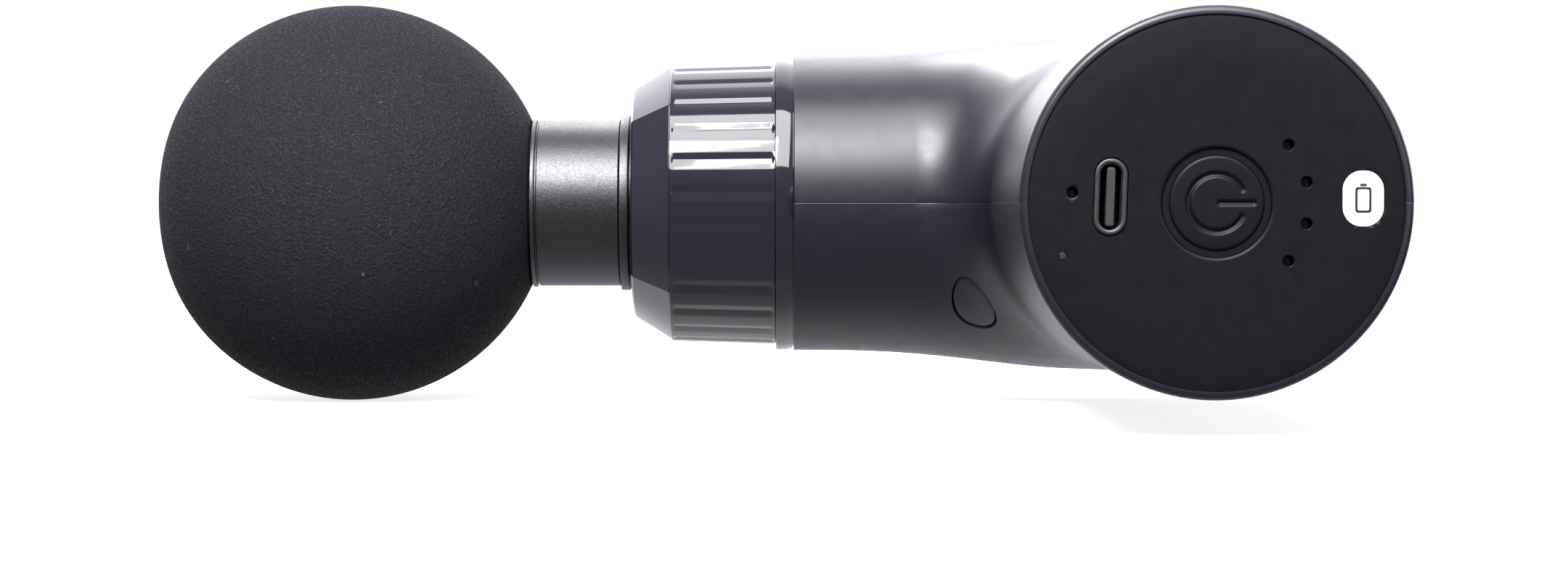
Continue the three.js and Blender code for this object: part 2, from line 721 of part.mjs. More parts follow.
function statorCore() {
  const shape = new THREE.Shape();
  const half = THREE.MathUtils.degToRad(15);
  for (let i = 0; i < TEETH; i++) {
    const angle = 2 * Math.PI * i / TEETH;
    const next = angle + 2 * Math.PI / TEETH;
    shape.absarc(0, 0, STATOR_R, angle - half, angle + half);
    for (const root of [angle + half, next - half]) {
      shape.lineTo(STATOR_ROOT_R * Math.cos(root), STATOR_ROOT_R * Math.sin(root));
    }
  }
  const hole = disc(HUB_R + GAP, STATOR_LOW - 1, STATOR_HIGH + 1, 24);
  return onMotor(cut(plate(shape, STATOR_LOW, STATOR_HIGH, 3), hole));
}

// one end of the copper windings
function winding(low, high) {
  const inner = STATOR_ROOT_R;
  const outer = STATOR_R - 1.2;
  const middle = (low + high) / 2;
  const profile = [[inner, low], [outer, low], [outer + 0.4, middle], [outer, high],
    [inner, high], [inner - 0.4, middle]];
  return onMotor(turned(profile, 3 * TEETH));
}

function ballBearing(low, high) {
  return onMotor(ring(BEARING_R, SHAFT_R + GAP / 2, low, high, 20));
}

function rotorCan() {
  const bore = SHAFT_R + GAP / 2;
  const inner = ROTOR_R - ROTOR_WALL;
  const roof = ROTOR_TOP - ROTOR_WALL;
  return onMotor(turned([[bore, roof], [inner, roof], [inner, ROTOR_BOTTOM],
    [ROTOR_R, ROTOR_BOTTOM], [ROTOR_R, ROTOR_TOP - 0.8], [ROTOR_R - 0.8, ROTOR_TOP],
    [bore, ROTOR_TOP]]));
}

function magnetRing() {
  return onMotor(ring(ROTOR_R - ROTOR_WALL - 0.2, MAGNET_R, ROTOR_BOTTOM + 1.5, ROTOR_TOP - 2));
}

function motorShaft() {
  return onMotor(disc(SHAFT_R, PLATE_Y - 0.8, DISC_HIGH - 0.4, SMALL_SEGMENTS));
}

// crank disc with a heavy side opposite the pin
function crankDisc() {
  const web = onMotor(disc(WEB_R, DISC_LOW, DISC_HIGH, 28));
  const weight = onMotor(disc(WEIGHT_R, DISC_LOW, DISC_HIGH, 36));
  const side = box(16, 10, 30, MOTOR_X - 9, DISC_HIGH, 0);
  const shaftHole = onMotor(disc(SHAFT_R + GAP / 2, DISC_LOW - 1, DISC_HIGH + 1, SMALL_SEGMENTS));
  const pinHole = disc(CRANK_PIN_R + GAP / 2, DISC_LOW - 1, DISC_HIGH + 1, SMALL_SEGMENTS);
  pinHole.translate(MOTOR_X + CRANK_R, 0, 0);
  return cut(joined(web, common(weight, side)), shaftHole, pinHole);
}

// the pin stops short of the rod's bearing, where the linkage is opened
function crankPin() {
  const top = REACH - ROD_HALF - PIN_SHORT;
  const pin = disc(CRANK_PIN_R, DISC_LOW + 0.2, top, SMALL_SEGMENTS);
  return pin.translate(MOTOR_X + CRANK_R, 0, 0);
}

// ---------------------------------------------------------------- wiring

// a battery lead from the control board, past the cells, to the protection board
function batteryLead(x) {
  return cable([[x, 8.4, 14.5], [x, 18, 16.6], [x, 52, 16.6], [x, 61, 13]], 0.8);
}

// the three motor wires in one sleeve, through the notch in the motor plate
function motorLead() {
  return cable([[0, 8.4, -14.5], [0, 18, -16.6], [0, 56, -16.6], [0, 65, -16.6],
    [-1, 66.8, -14.4], [-2, 66.8, -11]], 0.9, 22);
}

// ---------------------------------------------------------------- assembly

function assembleCasing() {
  add('casing', 'upper_shell', upperShell(), casingPlastic);
  add('casing', 'lower_shell', lowerShell(), casingPlastic);
  add('casing', 'end_cap', endCap(), capPlastic);
  add('casing', 'badge_plate', badgePlate(), whitePlastic);
  add('casing', 'charge_socket_shell', socketShell(), steel);
  add('casing', 'charge_socket_tongue', socketTongue(), rubber);
  lightPositions().forEach(([x, z], i) => {
    add('casing', `level_light_${i + 1}`, lightPipe(x, z), lightPlastic);
  });
  add('casing', 'charge_light', lightPipe(...CHARGE_LIGHT), lightPlastic);
  add('casing', 'control_board', controlBoard(), boardGreen);
  add('casing', 'power_switch', powerSwitch(), steel);
}

function assembleBattery() {
  add('casing', 'battery_cell_left', cell(-1), cellWrap);
  add('casing', 'battery_cell_right', cell(1), cellWrap);
  add('casing', 'cell_holder', cellHolder(), nylon);
  add('casing', 'cell_strip_front', cellStrip(CELL_Y - 0.5), nickel);
  add('casing', 'cell_strip_back', cellStrip(CELL_Y + CELL_LENGTH + 1), nickel);
  add('casing', 'protection_board', protectionBoard(), boardGreen);
}

function assembleFront() {
  add('casing', 'nose_cone', noseCone(), glossPlastic);
  add('casing', 'fluted_ring', flutedRing(), glossPlastic);
  add('casing', 'trim_flange', trimFlange(), glossPlastic);
  add('casing', 'front_tube', frontTube(), aluminium);
  add('casing', 'lip_seal', lipSeal(), rubber);
  add('casing', 'guide_bush', guideBush(), nylon);
}

function assembleMotor() {
  add('casing', 'motor_plate', motorPlate(), steel);
  add('casing', 'stator_hub', statorHub(), aluminium);
  add('casing', 'stator_core', statorCore(), steel);
  add('casing', 'winding_lower', winding(HUB_FLANGE_TOP + 0.8, STATOR_LOW - GAP), copper);
  add('casing', 'winding_upper', winding(STATOR_HIGH + GAP, HUB_TOP), copper);
  add('casing', 'motor_bearing_lower', ballBearing(PLATE_Y + 0.6, PLATE_Y + 3.6), steel);
  add('casing', 'motor_bearing_upper', ballBearing(HUB_TOP - 3.4, HUB_TOP - 0.4), steel);
  add('rotor', 'rotor_can', rotorCan(), steel);
  add('rotor', 'magnet_ring', magnetRing(), magnetGrey);
  add('rotor', 'motor_shaft', motorShaft(), steel);
  add('rotor', 'crank_disc', crankDisc(), steel);
  add('rotor', 'crank_pin', crankPin(), steel);
}

function assembleSlider() {
  add('piston', 'piston', piston(), aluminium);
  add('piston', 'wrist_pin', wristPin(), steel);
  add('rod', 'connecting_rod', connectingRod(), aluminium);
  add('rod', 'rod_bearing', rodBearing(), steel);
  add('head', 'foam_ball', foamBall(), foam);
  add('head', 'head_core', headCore(), sleeveMetal);
  GROOVES.forEach((x, i) => add('head', `head_o_ring_${i + 1}`, oRing(x), rubber));
}

function assembleFasteners() {
  SCREWS.forEach((place, i) => {
    add('casing', `casing_screw_${i + 1}`, casingScrew(place), steel);
    add('casing', `screw_plug_${i + 1}`, screwPlug(place), casingPlastic);
  });
  motorScrews().forEach((screw, i) => add('casing', `motor_screw_${i + 1}`, screw, steel));
}

function assembleWiring() {
  add('casing', 'battery_lead_positive', batteryLead(-2.2), redSleeve);
  add('casing', 'battery_lead_negative', batteryLead(2.2), rubber);
  add('casing', 'motor_lead', motorLead(), rubber);
}

add('button', 'power_button', powerButton(), capPlastic);
assembleCasing();
assembleBattery();
assembleFront();
assembleMotor();
assembleSlider();
assembleFasteners();
assembleWiring();

export default gun;
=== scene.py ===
"""A small massage gun lying on its side: visible pieces, materials, light and camera.

Metres, in the frame of the CAD model: the end cap's face is at y = 0 facing -Y, the handle runs
along Y, and the barrel runs along X with the massage head towards -X.
"""
import json
import math

import bmesh
import bpy
from mathutils import Matrix, Vector


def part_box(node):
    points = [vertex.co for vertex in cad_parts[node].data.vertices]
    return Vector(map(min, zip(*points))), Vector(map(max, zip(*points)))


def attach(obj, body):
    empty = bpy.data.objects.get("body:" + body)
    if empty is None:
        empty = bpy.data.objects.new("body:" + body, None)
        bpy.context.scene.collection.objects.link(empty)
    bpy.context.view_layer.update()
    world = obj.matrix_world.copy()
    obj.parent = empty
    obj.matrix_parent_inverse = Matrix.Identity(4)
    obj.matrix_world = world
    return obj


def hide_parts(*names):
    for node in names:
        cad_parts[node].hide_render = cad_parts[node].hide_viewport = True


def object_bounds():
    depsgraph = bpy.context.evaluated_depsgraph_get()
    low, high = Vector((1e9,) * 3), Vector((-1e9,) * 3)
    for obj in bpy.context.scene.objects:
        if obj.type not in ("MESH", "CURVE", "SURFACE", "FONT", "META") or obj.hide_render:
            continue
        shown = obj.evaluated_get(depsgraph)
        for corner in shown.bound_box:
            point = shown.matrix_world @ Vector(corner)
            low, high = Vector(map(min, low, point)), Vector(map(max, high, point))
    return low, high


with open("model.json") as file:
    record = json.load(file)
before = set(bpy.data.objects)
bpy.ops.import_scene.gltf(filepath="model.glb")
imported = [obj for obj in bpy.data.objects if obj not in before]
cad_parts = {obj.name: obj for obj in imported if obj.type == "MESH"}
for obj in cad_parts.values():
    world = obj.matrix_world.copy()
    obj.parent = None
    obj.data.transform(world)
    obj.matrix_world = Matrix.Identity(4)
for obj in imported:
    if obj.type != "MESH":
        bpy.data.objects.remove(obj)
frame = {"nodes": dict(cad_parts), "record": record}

CAD_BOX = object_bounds()
MM = 0.001

# ---------------- sizes, in millimetres

# casing: a row of elliptical sections between an inner and an outer edge line
REACH = 92.0
HANDLE_R = 22.75
BARREL_R = 20.25
BARREL_BACK_R = 22.0
BARREL_FRONT = -48.4
FLARE_END = -9.0
INNER_FILLET_R = 9.5
OUTER_FILLET_R = 30.0
WALL = 2.2
FRONT_CHAMFER = 0.12
RIM_ROUND = 0.85
SEAM_HALF = 0.004  # half the parting line's open width
LIP_ROUND = 0.11  # rounding of each half shell's edge at the parting line
LIP_FADE_Y = 70.0  # the rounding shrinks from here to the end cap
LIP_LEAST = 0.12  # the share of it left there
CORNER_START = -HANDLE_R - INNER_FILLET_R
CORNER_END = REACH - BARREL_R - INNER_FILLET_R
BARREL_STEPS = 12
CORNER_STEPS = 48
HANDLE_STATIONS = (48, 32, 16, 4)
SEAT_STEP = (2.8, 2.7)  # where the wall thins to seat the end cap
RIM_STEPS = 6

# screw plugs, set in the lower half; heights are z
PLUG_R = 2.82
PLUG_HOLE_R = 3.02
PLUG_SINK = 0.12
PLUG_INNER_END = -6.6
PLUG_HOLE_Z = (-30, -6)
# (share of the radius, drop) from a plug's middle to its edge
PLUG_EDGE = ((0.0, 0.0), (0.4, 0.0), (0.75, 0.0), (0.92, 0.01), (0.98, 0.06), (1.0, 0.16))

# end cap; depths are y
CAP_R = 21.7
CAP_T = 2.4
CAP_GAP = 0.02
CAP_EDGE = 0.05
CAP_DOME_R = 16.0
CAP_DROP = 0.25
CAP_STEPS = 8
EDGE_ROUND = 0.12
MOUTH_ROUND = 0.4
OVERRUN = 1  # how far a cutter reaches past what it cuts
HOLE_GAP = 0.05

# power button: a face, a skirt under the cap and a stem
BUTTON_R = 5.5
BUTTON_DOME = 0.12
BUTTON_GROOVE = 0.25
BUTTON_HOLE_R = 6.3
BUTTON_FOOT = 0.05
BUTTON_DRAFT = 0.03
SKIRT_END = 2.2
STEM_R = 2
STEM_END = 4.1
SYMBOL_R = 3.3
SYMBOL_HALF = 0.5
SYMBOL_DEPTH = 0.3
SYMBOL_GAP = 28
SYMBOL_BAR = (0.3, 4.2)

# lights, witness pin, charging port and badge, all in the end cap
LIGHT_R = 0.58
LIGHT_FLARE = 0.12
LENS_DEPTH = (1.25, 5.8)
LENS_CROWN = 0.1
PIN_PLACE = (-17.7, -6.1)
PIN_R = 0.42
PIN_FLARE = 0.05
PIN_DEPTH = (0.05, 2.3)
PORT_TILT = 2
PORT_WIDTH = 3.9
PORT_HEIGHT = 9.0
PORT_RIM = 0.72
PORT_ROLL = 0.3
PORT_DEPTH = (0.05, 6.1)
PORT_BACK_INSET = 0.9
PORT_BACK_ROUND = 1.0
PORT_BACK_DEPTH = (6.15, 6.35)
TONGUE_WIDTH = 1.0
TONGUE_HEIGHT = 6.8
TONGUE_ROUND = 0.3
TONGUE_DEPTH = (0.35, 6.0)
BADGE_ROUND = 2.2
BADGE_T = 0.6
BADGE_EDGE = 0.06
BADGE_SEAT_GAP = 0.1
BATTERY_WIDTH = 1.9
BATTERY_HEIGHT = 3.0
BATTERY_LINE = 0.3
BATTERY_ROUND = (0.35, 0.2)
BATTERY_DROP = 0.15
BATTERY_TIP = (0.8, 0.32, 0.1)
BATTERY_TIP_RISE = 1.56
PRINT_DEPTH = (-0.02, 0.04)
PRINT_EDGE = 0.008

# barrel trims
NOSE_R = (15.75, 19.0)
NOSE_EDGES = (75, 44, -19, -39, -98, -138, -197, -223)
NOSE_BULGE = 0.35  # share of each flat face that follows the round instead
NOSE_LAP = 0.26
NOSE_LAND = 0.05
NOSE_STEPS = 6
# (distance back, step out) round the nose's front edge
NOSE_ROUND = ((0, -0.55), (0.08, -0.2), (0.3, 0.12))
NOSE_BORE_R = (10.7, 12.7)  # front and rear bore
NOSE_BORE_FLARE = (0.02, 0.25)
NOSE_REAR_BORE = 3.0
TRIM_POINTS = 360
RING_R = (19.0, 19.45)
RING_BORE_R = 15.9
RING_EDGE = 0.12
RING_FRONT_STATIONS = (0.12, 0.3, 0.4, 0.5, 0.65, 0.9, 5, 9)
RING_BACK_STATIONS = (0.7, 0.5, 0.35, 0.25, 0.12)
FLUTES = 27
FLUTE_DEPTH = 0.18
FLUTE_ABOVE = 2.9  # half widths of a groove, in degrees
FLUTE_BELOW = 4.1
FLUTE_START = 17.8
FLUTE_POINTS = 40
FLUTE_FRONT = (0.3, 0.6)  # margin and length over which a flute runs in
FLUTE_BACK = (0.2, 0.5)
FLANGE_R = 20.25
FLANGE_CROWN = 0.4
FLANGE_PEAK = 0.25
FLANGE_STEPS = 10
FLANGE_GAP = (0.02, 0.01)  # to the ring and to the casing
JOINT_LINE = 0.12
JOINT_DEPTH = 0.6

# massage head; places along the barrel are x
BALL_R = 27.1
BALL_FLAT = 0.027
BALL_FLAT_POWER = 10
BALL_X = -109.0
BALL_STEPS = 150
BALL_BORE_R = 9.3
BALL_BORE_X = -105.3
MOUTH_LIP = (0.1, 0.3)
MOUTH_FLAT = 0.4
SLEEVE_FRONT = -84.2
SLEEVE_R = 11.4
SLEEVE_GAP = (0.1, 0.15)  # to the ball and to the piston
SLEEVE_LIP = (0.15, 0.55)  # how far it stands proud, and its length
SLEEVE_GROOVE = (0.35, 0.6, 0.85, 0.9)  # its depth, and where it starts, ends and turns out
CORE_R = 9
CORE_X = -105
SHANK_R = 8
SHANK_TIP = ((SHANK_R, -54), (7, -53), (0, -53))
SEAL_GROOVE_R = 6.7
SEAL_GROOVE_HALF = 0.9
SEAL_R = 7.4
SEAL_TUBE_R = 0.55

# piston
COLLAR_R = 12.0
COLLAR_T = 1.2
TUBE_R = 10
TUBE_BORE_R = 8.3
TUBE_END = -41
TUBE_BORE_END = -51
CHEEK_FRONT = -41.2
CHEEK_OFFSET = 4.65
CHEEK_HALF_T = 1.95
CHEEK_HALF_WIDTH = 5
CHEEK_ROUND = 0.5

# looks: sRGB colour and roughness, then for plastics the grain's scale and depth and the shine,
# and for metals how metallic they are
MOULDED = {
    "casing_plastic": (0x17151F, 0.36),
    "cap_plastic": (0x08070C, 0.46, 9.0, 0.01, 0.2),
    "cell_sleeve": (0x3D6FA8, 0.32, 2.0, 0.01),
    "nylon": (0xC8C4B4, 0.5),
    "symbol_ink": (0x201F24, 0.42, 9.0, 0.01),
    "port_tongue": (0x27272A, 0.5),
}
MACHINED = {
    "steel": (0xA9ABB0, 0.3),
    "aluminium": (0xB9BBC0, 0.38),
    "nickel": (0xC4C2BA, 0.34),
    "magnet": (0x4A4B50, 0.45, 0.6),
    "port_metal": (0x575257, 0.5),
}
RUBBERS = {
    "black_rubber": (0x18181A, 0.75),
    "red_sleeve": (0xA3262A, 0.5),
}

# studio seen in reflections: brightness by angle, from 0 in front over 90 above to 180 behind
STUDIO = ((-180, 1.2), (-160, 0.9), (-145, 0.8), (-118, 1.0), (-100, 0.85), (-88, 0.55), (-60, 0.3),
          (-30, 0.18), (0, 0.12), (28, 0.3), (76, 0.3), (100, 0.55), (110, 1.8), (133, 2.7), (150, 3.4),
          (180, 3.4))
STUDIO_GAIN = 4.0
STUDIO_SIDES = 0.1
STUDIO_SIDES_RISE = 0.9
STUDIO_SIDES_FROM = (0.95, 0.7)
STUDIO_TINT = (1.0, 0.99, 1.05)
FILL = (0.45, 0.45, 0.4635, 1)
WHITE = (1, 1, 1, 1)
FLOOR_HALF = 6000

# softboxes: aim, azimuth and elevation in degrees, then distance, width and height in metres,
# power in watts and spread in degrees
BARREL = (-0.04, REACH * MM, 0)
ELBOW = (-0.016, 0.085, 0.02)
SOFTBOXES = {
    "key_softbox": (BARREL, 0, 52, 0.62, 0.45, 0.55, 7.0, 180),
    "hot_softbox": (BARREL, -20, 41.5, 0.66, 0.2, 0.22, 6.5, 180),
    "elbow_spot": (ELBOW, -165, 44, 0.35, 0.1, 0.1, 0.018, 14),
    "side_fill": (BARREL, 44, 10, 0.9, 0.3, 0.5, 1.3, 180),
}
CAMERA_PLACE = (-0.0497, -0.46, 0)
CAMERA_LENS = 92
CAMERA_SENSOR = 36
CAMERA_DIP = 1.245


# ---------------- places and mesh helpers

def span(node, axis):
    """Lowest and highest coordinate of a CAD node along an axis, in millimetres."""
    low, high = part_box(node)
    return getattr(low, axis) / MM, getattr(high, axis) / MM


def middle_of(node, axes):
    """Middle of a CAD node along each of the axes, such as "xz", in millimetres."""
    low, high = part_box(node)
    return tuple((getattr(low, axis) + getattr(high, axis)) / 2 / MM for axis in axes)


def turns_of(count):
    """Angles of points spread evenly round a circle."""
    return [2 * math.pi * k / count for k in range(count)]


def new_object(name, mesh):
    """An object in the scene, around a mesh, curve, light or camera."""
    piece = bpy.data.objects.new(name, mesh)
    bpy.context.scene.collection.objects.link(piece)
    return piece


def from_bmesh(name, bm, smooth_angle=35):
    """A mesh object from millimetre geometry, shaded smooth below the angle."""
    bmesh.ops.remove_doubles(bm, verts=bm.verts, dist=1e-5)
    bmesh.ops.recalc_face_normals(bm, faces=bm.faces)
    bmesh.ops.scale(bm, vec=(MM, MM, MM), verts=bm.verts)
    mesh = bpy.data.meshes.new(name)
    bm.to_mesh(mesh)
    bm.free()
    mesh.shade_smooth()
    mesh.set_sharp_from_angle(angle=math.radians(smooth_angle))
    piece = new_object(name, mesh)
    keep_flats_flat(piece)
    return piece


def keep_flats_flat(piece):
    """Shading normals follow the large faces, so that small edge rounds don't tilt them."""
    weighted = piece.modifiers.new("flat_faces", "WEIGHTED_NORMAL")
    weighted.weight = 90
    weighted.keep_sharp = True


def fillet(corners, radius, steps=4):
    """Rounds a profile of (radius, height) points; a third value is a corner's own rounding."""
    closed = corners[0][0] > 0 or corners[-1][0] > 0
    points = [corner[:2] for corner in corners]
    result = []
    count = len(points)
    for i, point in enumerate(points):
        if not closed and i in (0, count - 1):
            result.append(point)
            continue
        own = corners[i][2] if len(corners[i]) > 2 else radius
        here = Vector(point)
        before = Vector(points[i - 1]) - here
        after = Vector(points[(i + 1) % count]) - here
        turn = before.angle(after)
        reach = min(own / math.tan(turn / 2), before.length * 0.45, after.length * 0.45)
        if turn > math.radians(172) or reach < 1e-4:
            result.append(point)
            continue
        start = here + before.normalized() * reach
        end = here + after.normalized() * reach
        for k in range(steps + 1):
            t = k / steps
            curve = start * (1 - t) ** 2 + here * 2 * t * (1 - t) + end * t * t
            result.append((curve.x, curve.y))
    return result


def lathe(name, profile, axis="X", centre=(0, 0), round_r=0.15, segments=128, steps=4):
    """Turns (radius, height) points about an axis through centre, given in the other two axes."""
    points = fillet(profile, round_r, steps)
    closed = profile[0][0] > 0 or profile[-1][0] > 0
    bm = bmesh.new()
    rings = []
    for radius, height in points:
        if radius < 1e-6:
            rings.append([bm.verts.new(placed(0, 0, height, axis, centre))])
            continue
        ring = []
        for angle in turns_of(segments):
            side = radius * math.cos(angle)
            up = radius * math.sin(angle)
            ring.append(bm.verts.new(placed(side, up, height, axis, centre)))
        rings.append(ring)
    pairs = list(zip(rings, rings[1:]))
    if closed:
        pairs.append((rings[-1], rings[0]))
    for low, high in pairs:
        bridge(bm, low, high)
    return from_bmesh(name, bm)


def placed(side, up, height, axis, centre):
    """A point of a turned shape in the row frame."""
    if axis == "X":
        return (height, centre[0] + side, centre[1] + up)
    if axis == "Y":
        return (centre[0] + side, height, centre[1] + up)
    return (centre[0] + side, centre[1] + up, height)


def bridge(bm, low, high):
    """Faces between two rings of points; either may be a single point."""
    count = max(len(low), len(high))
    for k in range(count):
        following = (k + 1) % count
        corners = [low[k % len(low)], low[following % len(low)]]
        corners += [high[following % len(high)], high[k % len(high)]]
        unique = list(dict.fromkeys(corners))
        if len(unique) > 2:
            bm.faces.new(unique)


def loft(name, loops, smooth_angle=35):
    """Skins loops that run out along a wall and back along its other side, and closes the ends."""
    bm = bmesh.new()
    rings = [[bm.verts.new(p) for p in loop] for loop in loops]
    for low, high in zip(rings, rings[1:]):
        bridge(bm, low, high)
    for ring in (rings[0], rings[-1]):
        last = len(ring) - 1
        for k in range(len(ring) // 2 - 1):
            bm.faces.new((ring[k], ring[k + 1], ring[last - k - 1], ring[last - k]))
    return from_bmesh(name, bm, smooth_angle)


def pill_loop(width, height, corner, x, z, tilt=0.0, steps=12):
    """A rectangle with round corners about x and z, turned by tilt degrees clockwise."""
    points = []
    for k in range(4):
        sign_x = 1 if k in (0, 3) else -1
        sign_z = 1 if k in (0, 1) else -1
        for step in range(steps + 1):
            angle = math.pi / 2 * (k + step / steps)
            side = sign_x * (width / 2 - corner) + corner * math.cos(angle)
            up = sign_z * (height / 2 - corner) + corner * math.sin(angle)
            points.append(Vector((side, up)))
    turn = Matrix.Rotation(math.radians(-tilt), 2)
    return [tuple(turn @ p + Vector((x, z))) for p in points]


def slab(name, loops, low, high, round_r=EDGE_ROUND):
    """A plate facing -Y from y = low to high, with an outline, holes and rounded edges."""
    curve = bpy.data.curves.new(name, "CURVE")
    curve.dimensions = "2D"
    curve.fill_mode = "BOTH"
    curve.extrude = (high - low) / 2 - round_r
    curve.bevel_depth = round_r
    curve.bevel_resolution = 3
    curve.offset = -round_r
    for loop in loops:
        spline = curve.splines.new("POLY")
        spline.points.add(len(loop) - 1)
        for point, (x, z) in zip(spline.points, loop):
            point.co = (x, z, 0, 1)
        spline.use_cyclic_u = True
    holder = new_object(name + "_outline", curve)
    graph = bpy.context.evaluated_depsgraph_get()
    flat = bpy.data.meshes.new_from_object(holder.evaluated_get(graph))
    bpy.data.objects.remove(holder)
    bpy.data.curves.remove(curve)
    bm = bmesh.new()
    bm.from_mesh(flat)
    bpy.data.meshes.remove(flat)
    middle = (low + high) / 2
    for vert in bm.verts:
        x, z, depth = vert.co
        vert.co = (x, middle - depth, z)
    return from_bmesh(name, bm)


def cut_with(piece, cutter):
    """Subtracts cutter from piece and deletes it; faces square to Y are shaded flat."""
    piece.modifiers.clear()
    modifier = piece.modifiers.new("cut", "BOOLEAN")
    modifier.operation = "DIFFERENCE"
    modifier.object = cutter
    modifier.solver = "EXACT"
    graph = bpy.context.evaluated_depsgraph_get()
    mesh = bpy.data.meshes.new_from_object(piece.evaluated_get(graph))
    piece.modifiers.clear()
    piece.data = mesh
    mesh.shade_smooth()
    mesh.set_sharp_from_angle(angle=math.radians(35))
    for polygon in mesh.polygons:
        if abs(polygon.normal.y) > 0.99999:
            polygon.use_smooth = False
    keep_flats_flat(piece)
    bpy.data.objects.remove(cutter)


def finish_piece(piece, body, slot, *nodes, look=None):
    """Look (its slot's unless named), body and the CAD nodes a piece stands for."""
    piece.data.materials.clear()
    piece.data.materials.append(LOOK[look or slot])
    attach(piece, body)
    if nodes:
        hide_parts(*nodes)


# ---------------- material helpers

def srgb(code):
    """Linear colour from an sRGB code such as 0x2C2B33."""
    channels = [(code >> shift & 255) / 255 for shift in (16, 8, 0)]
    linear = [c / 12.92 if c <= 0.04045 else ((c + 0.055) / 1.055) ** 2.4 for c in channels]
    return (*linear, 1.0)


class Shader:
    """A node material around one Principled BSDF, in object coordinates in millimetres."""

    def __init__(self, name, **inputs):
        self.material = bpy.data.materials.new(name)
        self.material.use_nodes = True
        self.nodes = self.material.node_tree.nodes
        self.links = self.material.node_tree.links
        self.bsdf = self.nodes["Principled BSDF"]
        self.set(self.bsdf, inputs)
        place = self.add("TexCoord")
        to_mm = self.add("VectorMath")
        to_mm.operation = "SCALE"
        to_mm.inputs["Scale"].default_value = 1 / MM
        self.links.new(place.outputs["Object"], to_mm.inputs[0])
        self.place = to_mm.outputs["Vector"]
        self.height = None

    def set(self, node, inputs):
        """Gives inputs their values; a name's spaces are written as underscores."""
        for key, value in inputs.items():
            node.inputs[key.replace("_", " ")].default_value = value

    def add(self, kind, **inputs):
        """A new node with some of its inputs set."""
        node = self.nodes.new("ShaderNode" + kind)
        self.set(node, inputs)
        return node

    def stretched(self, x, y, z):
        """Coordinates scaled by axis, for grain that runs one way."""
        node = self.add("VectorMath")
        node.operation = "MULTIPLY"
        node.inputs[1].default_value = (x, y, z)
        self.links.new(self.place, node.inputs[0])
        return node.outputs["Vector"]

    def noise(self, scale, detail=3.0, rough=0.5, place=None):
        """Noise with about scale lumps a millimetre."""
        node = self.add("TexNoise", Scale=scale, Detail=detail, Roughness=rough)
        self.links.new(place or self.place, node.inputs["Vector"])
        return node.outputs["Fac"]

    def cells(self, scale, feature="F1", output="Distance"):
        """Voronoi cells, about scale of them a millimetre."""
        node = self.add("TexVoronoi", Scale=scale)
        node.feature = feature
        self.links.new(self.place, node.inputs["Vector"])
        return node.outputs[output]

    def ranged(self, value, low_in, high_in, low_out, high_out):
        """The value moved from one range to another and held within it."""
        node = self.add("MapRange", From_Min=low_in, From_Max=high_in, To_Min=low_out, To_Max=high_out)
        self.links.new(value, node.inputs["Value"])
        return node.outputs["Result"]

    def mixed(self, factor, low, high):
        """A colour between low and high, each a colour or another node's output."""
        node = self.add("Mix")
        node.data_type = "RGBA"
        self.links.new(factor, node.inputs[0])
        for socket, colour in ((node.inputs[6], low), (node.inputs[7], high)):
            if isinstance(colour, tuple):
                socket.default_value = colour
            else:
                self.links.new(colour, socket)
        return node.outputs[2]

    def drive(self, name, value):
        """Feeds an input of the BSDF."""
        self.links.new(value, self.bsdf.inputs[name])

    def bump(self, value, depth_mm):
        """Adds a bump whose height is the value times depth_mm."""
        node = self.add("Bump", Strength=1.0, Distance=depth_mm * MM)
        self.links.new(value, node.inputs["Height"])
        if self.height is not None:
            self.links.new(self.height, node.inputs["Normal"])
        self.height = node.outputs["Normal"]
        self.links.new(self.height, self.bsdf.inputs["Normal"])


# ---------------- materials

def moulded_plastic(name, code, roughness, grain=7.0, depth=0.006, shine=0.5):
    """Satin moulded plastic: fine spark-eroded grain, slight colour and gloss drift."""
    colour = srgb(code)
    shader = Shader(name, Roughness=roughness, Specular_IOR_Level=shine)
    drift = shader.noise(0.08, 2.0)
    pale = tuple(min(1.0, c * 1.25) for c in colour[:3]) + (1.0,)
    shader.drive("Base Color", shader.mixed(drift, colour, pale))
    shader.drive("Roughness", shader.ranged(shader.noise(0.5), 0.3, 0.7, roughness - 0.03, roughness + 0.04))
    shader.bump(shader.noise(grain, 2.0), depth)
    return shader.material


def gloss_plastic():
    """Polished dark trim with a faint long-wave ripple and hair scratches."""
    shader = Shader("gloss_trim", Roughness=0.06, IOR=1.55, Coat_Weight=0.4, Coat_Roughness=0.03)
    shader.drive("Base Color", shader.mixed(shader.noise(0.15), srgb(0x191722), srgb(0x1F1D28)))
    scratches = shader.noise(3.0, 4.0, 0.7, shader.stretched(0.15, 1.0, 1.0))
    shader.drive("Roughness", shader.ranged(scratches, 0.55, 0.8, 0.06, 0.14))
    shader.bump(shader.noise(0.35, 1.0), 0.004)
    return shader.material


